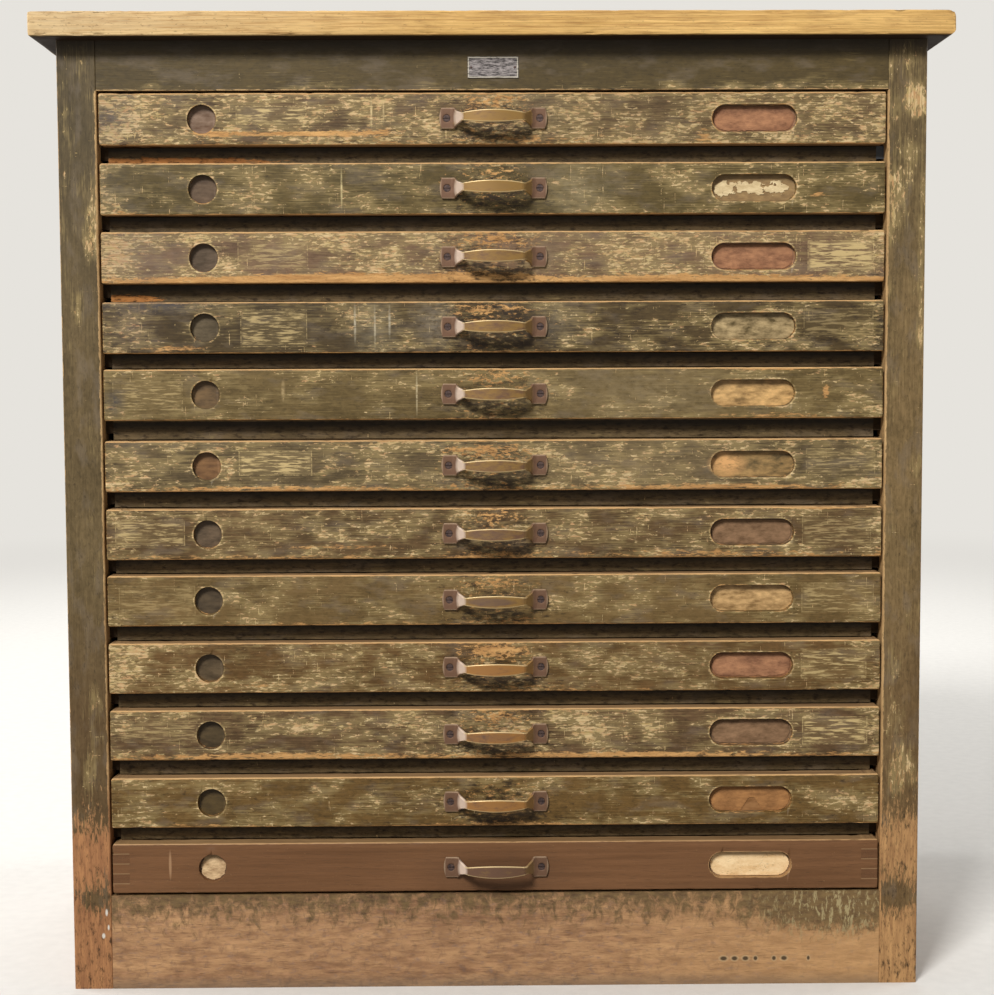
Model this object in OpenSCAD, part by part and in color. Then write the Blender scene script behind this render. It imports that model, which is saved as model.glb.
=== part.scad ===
// Chest of shallow drawers for a printing workshop. A painted frame-and-panel cabinet under a thick
// pine worktop holds a stack of long, low drawers with finger-jointed corners. Each drawer slides on
// two runner strips and has a bowed brass pull, a round finger recess and a long label recess.
// Millimetres. The front faces -Y, up is +Z, and the origin is the middle of the footprint.

/* [Worktop] */
// Thickness of the worktop
worktop_t = 28.5; // [18:0.5:45]
// Overhang of the worktop past each side of the body
worktop_side_lip = 26; // [12:1:60]
// Overhang of the worktop past the front of the body
worktop_front_lip = 28; // [12:1:60]
// Overhang of the worktop past the back of the body
worktop_back_lip = 10; // [4:1:40]
// Radius of the worktop's worn edges
worktop_r = 3; // [2:0.5:8]
// Radius that wear has given the worktop's left end, seen from the front
worktop_left_r = 4; // [2:0.5:8]
// Radius that wear has given the worktop's right end, seen from the front
worktop_right_r = 8.5; // [2:0.5:8.5]

/* [Body] */
// Width of the body across both stiles
body_w = 1000; // [700:10:1300]
// Depth of the body from the stiles' faces to its back
body_d = 600; // [450:10:800]
// Width of each corner post, seen from the front
post_w = 45; // [40:1:70]
// Depth of each corner post
post_d = 45; // [40:1:70]
// Radius of the corner posts' worn arrises
post_r = 2; // [0.5:0.5:3]
// Height of the plinth rail
plinth_h = 112; // [80:1:160]
// Height of the top rail over the drawers
top_rail_h = 56.5; // [45:0.5:90]
// Height of the upper rails at the sides and the back
side_rail_h = 70; // [50:1:100]
// Thickness of the front, back and plinth rails
rail_t = 20; // [18:1:24]
// Thickness of the side rails
side_rail_t = 25; // [20:1:32]
// Width of the middle muntin on each side and on the back
muntin_w = 60; // [45:1:90]
// Thickness of the side and back panels
panel_t = 8; // [5:1:9]
// Depth of the grooves that hold the panels
panel_groove_d = 9; // [6:1:10]
// Play of a panel across its groove, on each face
panel_play = 0.1; // [0.05:0.05:0.3]
// Room for a panel to swell at the foot of its groove
panel_swell = 0.8; // [0.4:0.1:2]

/* [Mortise and tenon joints] */
// Length of the rails' tenons
tenon_l = 24; // [15:1:24]
// Thickness of the rails' tenons
tenon_t = 10; // [6:1:10]
// Shoulder above and below each tenon
tenon_shoulder = 12; // [6:1:16]
// Glue line round a tenon in its mortise
glue_gap = 0.1; // [0.05:0.05:0.3]

/* [Drawers] */
// Number of drawers, one above the other
drawer_count = 12; // [2:1:12]
// Height of a drawer
drawer_h = 59.4; // [50:0.1:66]
// Space between one drawer and the next
drawer_space = 20.1; // [14:0.1:30]
// How high each pair of runners sits off the even spacing, from the top drawer down
runner_lift = [0.5, 0.5, 1.5, 0.5, 2.5, -1, -1, 0.5, 0.5, 0.5, -0.5, 0.5]; // -1 to 3 each
// Space between the plinth rail and the lowest drawer
foot_gap = 2.2; // [2:0.1:6]
// Space between the top drawer and the top rail
head_gap = 3.4; // [2:0.1:8]
// Space between a drawer and the stile at each end
end_gap = 2; // [1:0.5:4]
// Running gap under a drawer and behind it
running_gap = 0.3; // [0.3:0.1:0.6]
// Thickness of the drawers' fronts and backs
front_t = 20; // [16:1:20]
// Thickness of the drawers' sides
side_t = 20; // [12:1:22]
// Radius of a drawer's worn arrises
drawer_r = 2; // [0.5:0.5:4]
// Radius of a drawer's worn corners, seen from the front
drawer_corner_r = 3.5; // [1:0.5:6]
// Thickness of the drawers' bottoms
bottom_t = 6; // [4:0.5:7]
// Height of a drawer's bottom above its lower edge
bottom_lift = 4; // [3:0.5:4]
// Depth of the groove that holds a drawer's bottom
bottom_groove_d = 7; // [4:1:8]

/* [Finger joints] */
// Fingers in each drawer corner, always an odd number
finger_count = 5; // [3:2:7]
// Glue line between the fingers
finger_gap = 0.1; // [0.1:0.1:0.4]

/* [Recesses in the drawer fronts] */
// Diameter of the round recess
round_d = 33; // [20:1:40]
// From the left end of a drawer to the middle of the round recess
round_from_left = 118; // [60:1:150]
// Length of the label recess
label_l = 98; // [60:1:110]
// Height of the label recess, which is the width of its round ends
label_h = 31; // [20:1:38]
// From the right end of a drawer to the middle of the label recess
label_from_right = 152; // [90:1:180]
// Depth of both recesses
recess_deep = 7; // [4:0.5:10]

/* [Runners] */
// How far a runner strip stands out from the posts
runner_w = 9; // [6:1:14]
// Room left of the space between two drawers, once a runner strip is in it
runner_room = 5.1; // [4.5:0.1:8]
// Depth of the cross rails, front to back
cross_rail_d = 30; // [20:1:50]
// How far a cross rail sits below its runners
cross_rail_drop = 0.5; // [0.3:0.1:1]
// Space between a cross rail and the drawer below it
cross_rail_room = 1.2; // [0.8:0.1:2]

/* [Pulls] */
// Overall length of a pull
pull_l = 124; // [110:1:150]
// Height of a pull's end pads
pull_h = 24; // [18:1:28]
// Length of each end pad
pad_l = 17; // [16:1:22]
// How far the outer end of a pad bulges
pad_bulge = 2.5; // [1:0.5:4]
// Length of the grip between the two necks
grip_l = 70; // [60:1:76]
// Height of the grip in the middle
grip_h = 14.4; // [12:0.2:16]
// Height of the grip at its ends
grip_end_h = 9; // [7:0.5:10]
// How far the middle of the grip stands out from the drawer
pull_reach = 28; // [24:1:36]
// How far the grip bows out past its own ends
grip_bow = 6; // [3:1:8]
// How far a neck's taper keeps clear of the bends at its two ends
neck_ease = 0.6; // [0.4:0.1:1]
// Thickness of the pull's brass strap
strap_t = 3; // [2.4:0.2:3.4]

/* [Screws] */
// Diameter of a pull screw's head
head_d = 8; // [7:0.5:9]
// Height of the screw's countersunk head
head_h = 2.2; // [1.6:0.1:2.2]
// Diameter of the screw's shank
shank_d = 3.5; // [3:0.5:4]
// Length of a pull screw
screw_l = 16; // [10:1:18]
// Width and depth of the screw's slot
slot_w = 0.9; // [0.6:0.1:1.2]
// Clearance round the shank and under the head
screw_gap = 0.1; // [0.05:0.05:0.2]

/* [Name plate] */
// Length of the bare plate on the top rail
plate_l = 58; // [40:1:70]
// Height of the plate
plate_h = 24; // [16:1:30]
// Thickness of the plate with its raised rim
plate_t = 1.2; // [0.8:0.1:2]
// Width of the raised rim
plate_rim = 1.6; // [1:0.2:2]
// Height of the rim over the plate's field
plate_rim_h = 0.4; // [0.2:0.1:0.6]
// How far the plate sits below the middle of the top rail
plate_drop = 3; // [0:0.5:6]
// Diameter of the plate pins' heads
pin_head_d = 3.2; // [2.4:0.2:4]
// Diameter of the plate pins' shanks
pin_d = 1.6; // [1:0.2:2]
// Length of a plate pin under its head
pin_l = 9; // [5:1:12]
// From the end of the plate to a pin
pin_inset = 4; // [4:0.5:6]

/* [Colours] */
// Green paint on the body and the drawers
paint_green = "#5c5434"; // olive green
// Darker green of the pieces inside the front
inside_green = "#39372a"; // dark olive
// Raw pine of the worktop
raw_pine = "#cdaf73"; // pale straw
// Bare and brown-stained wood
bare_wood = "#8a6844"; // mid brown
// Lowest drawer, stained and not painted
stained_wood = "#6c4c34"; // red-brown
// Brass of the pulls and pins
worn_brass = "#a08550"; // dull gold
// Dark field of the name plate
plate_black = "#2b2926"; // near black

/* [Hidden] */
CARCASS = ["worktop", "front_stiles", "rear_posts", "frame_rails", "side_panels", "back_panels",
    "top_rail", "plinth_rail", "cross_rails", "runners", "nameplate", "nameplate_pins"];
DRAWER_PARTS = ["front", "box", "pull", "screws"];
$fn = 64;
// A cut runs this far past the face that it opens
over = 1;

opening_w = body_w - 2 * post_w;
drawer_pitch = drawer_h + drawer_space;
opening_h = foot_gap + (drawer_count - 1) * drawer_pitch + drawer_h + head_gap;
opening_top = plinth_h + opening_h;
body_h = opening_top + top_rail_h;
side_open_top = body_h - side_rail_h;
front_reach = max(worktop_front_lip, pull_reach);
total_d = front_reach + body_d + worktop_back_lip;
front_y = front_reach - total_d / 2;
back_y = front_y + body_d;
mid_y = front_y + body_d / 2;
inner_x = opening_w / 2;
outer_x = body_w / 2;
plinth_z = [0, plinth_h];
top_rail_z = [opening_top, body_h];
high_rail_z = [side_open_top, body_h];

drawer_w = opening_w - 2 * end_gap;
drawer_d = body_d - rail_t - running_gap;
finger_h = drawer_h / finger_count;
runner_h = drawer_space - runner_room;

pad_x = pull_l / 2 - pad_l;
screw_x = (pull_l - pad_l) / 2;
grip_x = grip_l / 2;

// Name of one piece of drawer i, counted from the top
function drawer_node(i, part) = str("drawer_", i < 10 ? "0" : "", i, "_", part);
// Height of the underside of drawer i
function drawer_z(i) = plinth_h + foot_gap + (drawer_count - i) * drawer_pitch + runner_lift[i - 1];
// Radius of an arc of the given rise over a chord of twice the half-chord
function arc_r(half_chord, rise) = (half_chord * half_chord + rise * rise) / (2 * rise);

// Box between two corners
module block(low, high) {
    translate(low)
        cube(high - low);
}

// Rectangle with round corners, from its lower left corner
module soft_rect(size, r) {
    translate([r, 0])
        square([size.x - 2 * r, size.y]);
    translate([0, r])
        square([size.x, size.y - 2 * r]);
    for (x = [r, size.x - r])
        for (y = [r, size.y - r])
            translate([x, y])
                circle(r);
}

// Board with its arrises worn to radius r, and its corners, seen from the front, to corner_r.
// It starts at left_x, so that one end can lie beyond the board that it is cut with.
module worn_board(size, r, corner_r, left_x = 0) {
    long = [size.x - left_x, size.y, size.z];
    translate([left_x, 0, 0])
        intersection() {
            linear_extrude(long.z)
                soft_rect([long.x, long.y], r);
            stand_up(long.y)
                soft_rect([long.x, long.z], corner_r);
            rotate([90, 0, 90])
                linear_extrude(long.x)
                    soft_rect([long.y, long.z], r);
        }
}

// A piece on the right and its mirror image on the left
module both_sides() {
    children();
    mirror([1, 0, 0])
        children();
}

// Stands a flat outline up, so that it faces the front and is as thick as t from y = 0 backwards
module stand_up(t) {
    translate([0, t, 0])
        rotate([90, 0, 0])
            linear_extrude(t)
                children();
}

module worktop() {
    size = [body_w + 2 * worktop_side_lip, worktop_front_lip + body_d + worktop_back_lip, worktop_t];
    color(raw_pine)
        translate([-size.x / 2, front_y - worktop_front_lip, body_h])
            intersection() {
                worn_board(size, worktop_r, worktop_left_r);
                worn_board(size, worktop_r, worktop_right_r, -size.x);
            }
}

// Tenons at both ends of a rail that runs from side to side, with a gap all round for a mortise
module cross_tenon(z, y, gap = 0) {
    reach = inner_x + tenon_l + gap;
    side = tenon_t / 2 + gap;
    middle = y + rail_t / 2;
    block([-reach, middle - side, z[0] + tenon_shoulder - gap],
        [reach, middle + side, z[1] - tenon_shoulder + gap]);
}

// Rail from side to side between two posts, over the heights z, with its face at y
module cross_rail(z, y) {
    block([-inner_x, y, z[0]], [inner_x, y + rail_t, z[1]]);
    cross_tenon(z, y);
}

// Tenons at both ends of a rail that runs from front to back on the right side
module side_tenon(z, gap = 0) {
    reach = tenon_l - post_d + gap;
    side = tenon_t / 2 + gap;
    middle = outer_x - side_rail_t / 2;
    block([middle - side, front_y - reach, z[0] + tenon_shoulder - gap],
        [middle + side, back_y + reach, z[1] - tenon_shoulder + gap]);
}

// Rail from front to back on the right side, over the heights z
module side_rail(z) {
    block([outer_x - side_rail_t, front_y + post_d, z[0]], [outer_x, back_y - post_d, z[1]]);
    side_tenon(z);
}

// The two panels of the right side, or with the full reach and play the grooves that hold them
module side_bay(reach, play) {
    middle = outer_x - side_rail_t / 2;
    side = panel_t / 2 + play;
    for (y = [[front_y + post_d, mid_y - muntin_w / 2], [mid_y + muntin_w / 2, back_y - post_d]])
        block([middle - side, y[0] - reach, plinth_h - reach],
            [middle + side, y[1] + reach, side_open_top + reach]);
}

// The right panel of the back, or the grooves that hold it
module back_bay(reach, play) {
    middle = back_y - rail_t / 2;
    side = panel_t / 2 + play;
    block([muntin_w / 2 - reach, middle - side, plinth_h - reach],
        [inner_x + reach, middle + side, side_open_top + reach]);
}

// Grooves for every panel that touches the right half of the frame
module panel_grooves() {
    side_bay(panel_groove_d, panel_play);
    back_bay(panel_groove_d, panel_play);
}

// Corner post on the right with its front face at y, less the mortises that are its children
module post(y) {
    difference() {
        translate([inner_x, y, 0])
            linear_extrude(body_h)
                soft_rect([post_w, post_d], post_r);
        side_tenon(plinth_z, glue_gap);
        side_tenon(high_rail_z, glue_gap);
        panel_grooves();
        children();
    }
}

module front_stiles() {
    color(paint_green)
        both_sides()
            post(front_y) {
                cross_tenon(plinth_z, front_y, glue_gap);
                cross_tenon(top_rail_z, front_y, glue_gap);
            }
}

module rear_posts() {
    color(paint_green)
        both_sides()
            post(back_y - post_d) {
                cross_tenon(plinth_z, back_y - rail_t, glue_gap);
                cross_tenon(high_rail_z, back_y - rail_t, glue_gap);
            }
}

// Rails and muntins of both sides and of the back
module frame_rails() {
    color(bare_wood) {
        both_sides()
            difference() {
                union() {
                    side_rail(plinth_z);
                    side_rail(high_rail_z);
                }
                side_bay(panel_groove_d, panel_play);
            }
        both_sides()
            difference() {
                block([inner_x, mid_y - muntin_w / 2, plinth_h + glue_gap],
                    [outer_x, mid_y + muntin_w / 2, side_open_top - glue_gap]);
                side_bay(panel_groove_d, panel_play);
            }
        difference() {
            union() {
                cross_rail(plinth_z, back_y - rail_t);
                cross_rail(high_rail_z, back_y - rail_t);
            }
            both_sides()
                back_bay(panel_groove_d, panel_play);
        }
        difference() {
            block([-muntin_w / 2, back_y - rail_t, plinth_h + glue_gap],
                [muntin_w / 2, back_y, side_open_top - glue_gap]);
            both_sides()
                back_bay(panel_groove_d, panel_play);
        }
    }
}

module side_panels() {
    color(paint_green)
        both_sides()
            side_bay(panel_groove_d - panel_swell, 0);
}

module back_panels() {
    color(bare_wood)
        both_sides()
            back_bay(panel_groove_d - panel_swell, 0);
}

module top_rail() {
    color(paint_green)
        difference() {
            cross_rail(top_rail_z, front_y);
            plate_pins(screw_gap);
        }
}

module plinth_rail() {
    color(bare_wood)
        cross_rail(plinth_z, front_y);
}

// Runner strips, nailed inside the posts and the side muntins
module runners() {
    color(inside_green)
        both_sides()
            for (i = [1:drawer_count]) {
                top = drawer_z(i) - running_gap;
                block([inner_x - runner_w, front_y + rail_t, top - runner_h],
                    [inner_x, back_y - rail_t, top]);
            }
}

// Rails that close the gaps between the drawers, set back behind the drawer fronts
module cross_rails() {
    half = inner_x - runner_w;
    color(inside_green)
        for (i = [1:drawer_count - 1]) {
            block([-half, front_y + rail_t, drawer_z(i + 1) + drawer_h + cross_rail_room],
                [half, front_y + rail_t + cross_rail_d, drawer_z(i) - running_gap - cross_rail_drop]);
        }
}

// Puts a piece at the middle of the name plate, on the face of the top rail
module on_top_rail() {
    translate([0, front_y, (opening_top + body_h) / 2 - plate_drop])
        children();
}

// One pin with its head in front of the plate, or the hole for it with a gap round the shank
module plate_pin(gap) {
    rotate([-90, 0, 0])
        cylinder(d = pin_d + 2 * gap, h = pin_l + gap);
    translate([0, -plate_t, 0])
        rotate([-90, 0, 0])
            cylinder(d = pin_d + 2 * gap, h = plate_t);
}

// Both pins in their places
module plate_pins(gap) {
    on_top_rail()
        both_sides()
            translate([plate_l / 2 - pin_inset, 0, 0])
                plate_pin(gap);
}

// Bare plate with a raised rim and no lettering
module nameplate() {
    color(plate_black)
        difference() {
            on_top_rail()
                translate([-plate_l / 2, -plate_t, -plate_h / 2])
                    difference() {
                        cube([plate_l, plate_t, plate_h]);
                        translate([plate_rim, -over, plate_rim])
                            cube([plate_l - 2 * plate_rim, over + plate_rim_h, plate_h - 2 * plate_rim]);
                    }
            plate_pins(screw_gap);
        }
}

module nameplate_pins() {
    color(worn_brass) {
        plate_pins(0);
        on_top_rail()
            both_sides()
                translate([plate_l / 2 - pin_inset, plate_rim_h - plate_t, 0])
                    rotate([90, 0, 0])
                        intersection() {
                            translate([0, 0, -pin_head_d / 4])
                                sphere(d = pin_head_d);
                            cylinder(d = pin_head_d, h = pin_head_d);
                        }
    }
}

// Moves a piece to the lower left front corner of drawer i
module on_drawer(i) {
    translate([-drawer_w / 2, front_y, drawer_z(i)])
        children();
}

// Outside of a whole drawer, with every arris rounded by wear
module drawer_outside() {
    worn_board([drawer_w, drawer_d, drawer_h], drawer_r, drawer_corner_r);
}

// The long fingers of a drawer's left side, or with a gap all round the slots that take them
module side_fingers(gap = 0) {
    for (k = [1:2:finger_count - 2])
        translate([-gap, -gap, k * finger_h - gap / 2])
            cube([side_t + 2 * gap, drawer_d + 2 * gap, finger_h + gap]);
}

// A piece at a drawer's left end and its mirror image at the right end
module both_ends() {
    children();
    translate([drawer_w, 0, 0])
        mirror([1, 0, 0])
            children();
}

// Bottom board, or with the full reach and play the groove that holds it
module drawer_bottom(reach, play) {
    block([side_t - reach, front_t - reach, bottom_lift - play],
        [drawer_w - side_t + reach, drawer_d - front_t + reach, bottom_lift + bottom_t + play]);
}

// Board across a drawer from y, with slots at its ends for the sides' fingers
module end_board(y) {
    difference() {
        intersection() {
            drawer_outside();
            translate([0, y, 0])
                cube([drawer_w, front_t, drawer_h]);
        }
        both_ends()
            side_fingers(finger_gap);
        drawer_bottom(bottom_groove_d, panel_play);
    }
}

// Left side of a drawer, with its fingers reaching through the front and the back
module side_board() {
    difference() {
        intersection() {
            drawer_outside();
            union() {
                block([0, front_t + glue_gap, 0], [side_t, drawer_d - front_t - glue_gap, drawer_h]);
                side_fingers();
            }
        }
        drawer_bottom(bottom_groove_d, panel_play);
    }
}

// Round finger recess and long label recess
module front_recesses() {
    translate([0, -over, drawer_h / 2])
        rotate([-90, 0, 0]) {
            translate([round_from_left, 0, 0])
                cylinder(d = round_d, h = over + recess_deep);
            translate([drawer_w - label_from_right, 0, 0])
                label_cutter(over + recess_deep);
        }
}

// Slot with round ends
module label_cutter(h) {
    straight = label_l - label_h;
    for (x = [-straight / 2, straight / 2])
        translate([x, 0, 0])
            cylinder(d = label_h, h = h);
    translate([-straight / 2, -label_h / 2, 0])
        cube([straight, label_h, h]);
}

module drawer_front(i) {
    color(i == drawer_count ? stained_wood : paint_green)
        difference() {
            on_drawer(i)
                difference() {
                    end_board(0);
                    front_recesses();
                }
            pull_screws(i, screw_gap);
        }
}

// Sides, back and bottom of drawer i
module drawer_box(i) {
    color(bare_wood)
        on_drawer(i) {
            both_ends()
                side_board();
            end_board(drawer_d - front_t);
            drawer_bottom(bottom_groove_d - panel_swell, 0);
        }
}

// Moves a piece to the middle of the front of drawer i
module on_front(i) {
    translate([0, front_y, drawer_z(i) + drawer_h / 2])
        children();
}

// The brass strap seen from above: flat pads, steep necks and a bowed grip
module strap_plan() {
    bow_r = arc_r(grip_x, grip_bow);
    middle_r = bow_r - strap_t / 2;
    pad_end = [pad_x, -strap_t / 2];
    grip_end = [grip_x, bow_r - pull_reach - sqrt(middle_r * middle_r - grip_x * grip_x)];
    along = (grip_end - pad_end) / norm(grip_end - pad_end);
    across = [along.y, -along.x] * strap_t / 2;
    both_sides() {
        translate([pad_x, -strap_t])
            square([pad_l, strap_t]);
        polygon([pad_end + across, grip_end + across, grip_end - across, pad_end - across]);
        translate(pad_end)
            circle(d = strap_t);
        translate(grip_end)
            circle(d = strap_t);
    }
    intersection() {
        translate([0, bow_r - pull_reach])
            difference() {
                circle(bow_r, $fn = 180);
                circle(bow_r - strap_t, $fn = 180);
            }
        translate([-grip_x, -pull_reach])
            square([grip_l, grip_bow + strap_t]);
    }
}

// The strap seen from the front: wide pads, necks that narrow, and a grip with a slight belly
module strap_outline() {
    belly_r = arc_r(grip_x, (grip_h - grip_end_h) / 2);
    bulge_r = arc_r(pull_h / 2, pad_bulge);
    neck_x = [grip_x + neck_ease, pad_x - neck_ease];
    waist_x = grip_x - strap_t;
    both_sides() {
        intersection() {
            translate([neck_x[1], -pull_h / 2])
                square([pad_l + neck_ease, pull_h]);
            translate([pull_l / 2 - bulge_r, 0])
                circle(bulge_r, $fn = 120);
        }
        polygon([[neck_x[1] + over, pull_h / 2], [neck_x[1], pull_h / 2],
            [neck_x[0], grip_end_h / 2], [waist_x, grip_end_h / 2],
            [waist_x, -grip_end_h / 2], [neck_x[0], -grip_end_h / 2],
            [neck_x[1], -pull_h / 2], [neck_x[1] + over, -pull_h / 2]]);
    }
    intersection() {
        translate([0, grip_h / 2 - belly_r])
            circle(belly_r, $fn = 360);
        translate([0, belly_r - grip_h / 2])
            circle(belly_r, $fn = 360);
        square([grip_l + neck_ease, grip_h], center = true);
    }
}

module drawer_pull(i) {
    color(worn_brass)
        difference() {
            on_front(i)
                intersection() {
                    translate([0, 0, -pull_h / 2])
                        linear_extrude(pull_h)
                            strap_plan();
                    translate([0, -pull_reach, 0])
                        stand_up(pull_reach)
                            strap_outline();
                }
            pull_screws(i, screw_gap);
        }
}

// One countersunk screw whose head is flush with the pad, or the hole for it with a gap round it
module pull_screw(gap) {
    head_r = head_d / 2 + gap;
    shank_r = shank_d / 2 + gap;
    open = gap > 0 ? over : 0;
    translate([0, -strap_t, 0])
        rotate([-90, 0, 0])
            rotate_extrude()
                polygon([[0, -open], [head_r, -open], [head_r, 0], [shank_r, head_h],
                    [shank_r, screw_l], [0, screw_l + shank_r]]);
}

// Both screws of the pull on drawer i
module pull_screws(i, gap) {
    on_front(i)
        both_sides()
            translate([screw_x, 0, 0])
                pull_screw(gap);
}

module drawer_screws(i) {
    color(worn_brass)
        difference() {
            pull_screws(i, 0);
            on_front(i)
                translate([-pull_l / 2, -strap_t - over, -slot_w / 2])
                    cube([pull_l, over + slot_w, slot_w]);
        }
}

worktop();
front_stiles();
rear_posts();
frame_rails();
side_panels();
back_panels();
top_rail();
plinth_rail();
cross_rails();
runners();
nameplate();
nameplate_pins();
for (i = [1:drawer_count]) {
    drawer_front(i);
    drawer_box(i);
    drawer_pull(i);
    drawer_screws(i);
}
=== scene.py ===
# %% [markdown]
# # A workshop chest of drawers, worn by a century of hands
# The frame holds the joinery: posts, rails, runners and twelve long drawers, each in its true place.
# This lesson gives those pieces their finish and adds what only the eye needs: brass pulls with soft
# edges, old labels in their recesses, and the dents and nicks of a used bench.
# Every piece keeps the frame's place, so nothing has to be fitted afterwards.

# %% Load the frame
from functools import partial
from math import asin, cos, hypot, pi, radians, sin

import bmesh
import bpy
from mathutils import Matrix, Vector, noise


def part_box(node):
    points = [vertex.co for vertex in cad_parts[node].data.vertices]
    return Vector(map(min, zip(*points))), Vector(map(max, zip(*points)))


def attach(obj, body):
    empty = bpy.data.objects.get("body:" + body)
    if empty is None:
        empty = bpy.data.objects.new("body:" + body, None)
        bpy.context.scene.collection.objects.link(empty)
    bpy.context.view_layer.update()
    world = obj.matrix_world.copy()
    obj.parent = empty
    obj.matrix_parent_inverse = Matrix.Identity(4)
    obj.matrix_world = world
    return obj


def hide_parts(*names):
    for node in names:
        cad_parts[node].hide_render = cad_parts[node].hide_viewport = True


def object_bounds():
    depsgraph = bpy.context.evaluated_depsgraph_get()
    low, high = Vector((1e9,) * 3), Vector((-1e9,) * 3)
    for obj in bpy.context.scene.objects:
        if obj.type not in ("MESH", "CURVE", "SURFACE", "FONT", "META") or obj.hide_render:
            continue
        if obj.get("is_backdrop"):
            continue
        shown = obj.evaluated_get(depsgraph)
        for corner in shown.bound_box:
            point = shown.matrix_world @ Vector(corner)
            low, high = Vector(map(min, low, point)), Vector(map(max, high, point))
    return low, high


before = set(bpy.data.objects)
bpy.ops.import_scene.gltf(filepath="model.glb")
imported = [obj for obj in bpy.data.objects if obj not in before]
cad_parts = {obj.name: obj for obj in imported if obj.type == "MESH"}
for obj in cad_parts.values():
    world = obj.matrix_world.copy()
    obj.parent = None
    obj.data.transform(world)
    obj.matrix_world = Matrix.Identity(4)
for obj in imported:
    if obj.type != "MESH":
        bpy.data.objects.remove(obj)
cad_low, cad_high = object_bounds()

MM = 0.001

# %% [markdown]
# ## The places that everything refers to
# The chest is measured once, from the frame, so a drawer that is moved there moves its wear too.
# Millimetres suit the patterns, because grain, chips and dents are known in millimetres.

# %% Measure the chest
DRAWERS = range(1, 13)


def drawer(i, part):
    """Name of one piece of drawer i, counted from the top."""
    return f"drawer_{i:02d}_{part}"


def box_mm(node):
    """Lowest and highest corner of a node, in millimetres."""
    return [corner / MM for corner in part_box(node)]


front_low, front_high = box_mm(drawer(1, "front"))
FRONT_Y = front_low.y
DRAWER_HALF = front_high.x
DRAWER_H = front_high.z - front_low.z
UNDERSIDE = {i: box_mm(drawer(i, "front"))[0].z for i in DRAWERS}
MIDDLE = {i: UNDERSIDE[i] + DRAWER_H / 2 for i in DRAWERS}
PITCH = UNDERSIDE[1] - UNDERSIDE[2]
STILE_W = 45
STILE_OUT = box_mm("front_stiles")[1].x
STILE_IN = STILE_OUT - STILE_W
PLINTH_TOP = box_mm("plinth_rail")[1].z
RAIL_LOW, RAIL_HIGH = [corner.z for corner in box_mm("top_rail")]
BODY_BACK = box_mm("rear_posts")[1].y
TRAY_DEPTH = box_mm(drawer(1, "box"))[1].y - FRONT_Y

# The recesses: their middles, their radius and half the straight part of the long one
ROUND_X = -DRAWER_HALF + 118
ROUND_R = 16.5
LABEL_X = DRAWER_HALF - 152
LABEL_R = 15.5
LABEL_HALF = 33.5
RECESS_DEEP = 7
FINGERS = 5
FINGER_L = 20
print(f"a drawer front is {2 * DRAWER_HALF:.0f} by {DRAWER_H:.1f} mm, its face at y {FRONT_Y:.0f}")

# %% [markdown]
# ## Camera, floor and light
# The camera stands where the photographer stood: two metres off, a little left of the middle, and
# just tilted down. The focal length follows from how fast the drawers shrink towards the floor.

# %% Camera
PHOTO_W = 994
FOCAL_PX = 1841
SENSOR = 36
CAMERA_AT = (-0.022, -2.433, 0.736)
# Degrees and axis: to the side, down, level, and upright from looking straight down
CAMERA_TURNS = [(-0.659, "Z"), (-4.111, "X"), (0.228, "Y"), (90, "X")]
camera_data = bpy.data.cameras.new("camera")
camera_data.sensor_fit = "HORIZONTAL"
camera_data.sensor_width = SENSOR
camera_data.lens = FOCAL_PX / PHOTO_W * SENSOR
camera = bpy.data.objects.new("camera", camera_data)
camera.location = CAMERA_AT
turned = Matrix.Identity(4)
for degrees, axis in CAMERA_TURNS:
    turned = turned @ Matrix.Rotation(radians(degrees), 4, axis)
camera.rotation_euler = turned.to_euler()
bpy.context.scene.collection.objects.link(camera)
bpy.context.scene.camera = camera
bpy.context.scene.view_settings.view_transform = "Standard"
print(f"camera: {camera_data.lens:.1f} mm lens, {-camera.location.y:.2f} m in front of the origin")

# %% [markdown]
# ## A language for materials
# Every finish here is a small network of nodes. One function adds a node with its settings and
# links, so a pattern reads from left to right like a sentence. Each material ties it to its own tree.
# Colours are written as on screen, in sRGB hex, and turned to the linear values that light needs.

# %% Colours and nodes
SOFT = dict(interpolation_type="SMOOTHSTEP")
RGB = dict(data_type="RGBA")
MOST = dict(operation="MAXIMUM")
LEAST = dict(operation="MINIMUM")
TIMES = dict(operation="MULTIPLY")
LESS = dict(operation="SUBTRACT")
SIZE = dict(operation="ABSOLUTE")
SCALED = dict(operation="MULTIPLY_ADD")


def linear(code):
    """Linear colour, with full alpha, of an sRGB hex code."""
    parts = [int(code[i:i + 2], 16) / 255 for i in (1, 3, 5)]
    return [c / 12.92 if c <= 0.04045 else ((c + 0.055) / 1.055) ** 2.4 for c in parts] + [1.0]


def add_node(tree, kind, *values, **more):
    """Adds one node to a tree. The values fill its open sockets in order, and a node there is linked.
    A name with a capital is a socket as well, and any other name is a setting of the node."""
    node = tree.nodes.new("ShaderNode" + kind)
    for name in more:
        if name[0].islower():
            setattr(node, name, more[name])
    sockets = [s for s in node.inputs if s.enabled]
    filled = list(zip(sockets, values))
    filled += [(node.inputs[name.replace("_", " ")], more[name]) for name in more if name[0].isupper()]
    for socket, value in filled:
        if isinstance(value, bpy.types.Node):
            value = next(o for o in value.outputs if o.enabled)
        if isinstance(value, bpy.types.NodeSocket):
            tree.links.new(value, socket)
        elif value is not None:
            socket.default_value = linear(value) if isinstance(value, str) else value
    return node


# %% Lamps and world
# How brightly each lamp lights a surface square to it, where 1 shows a colour as it is written
KEY = 1.04
WORLD = 0.14


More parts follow.
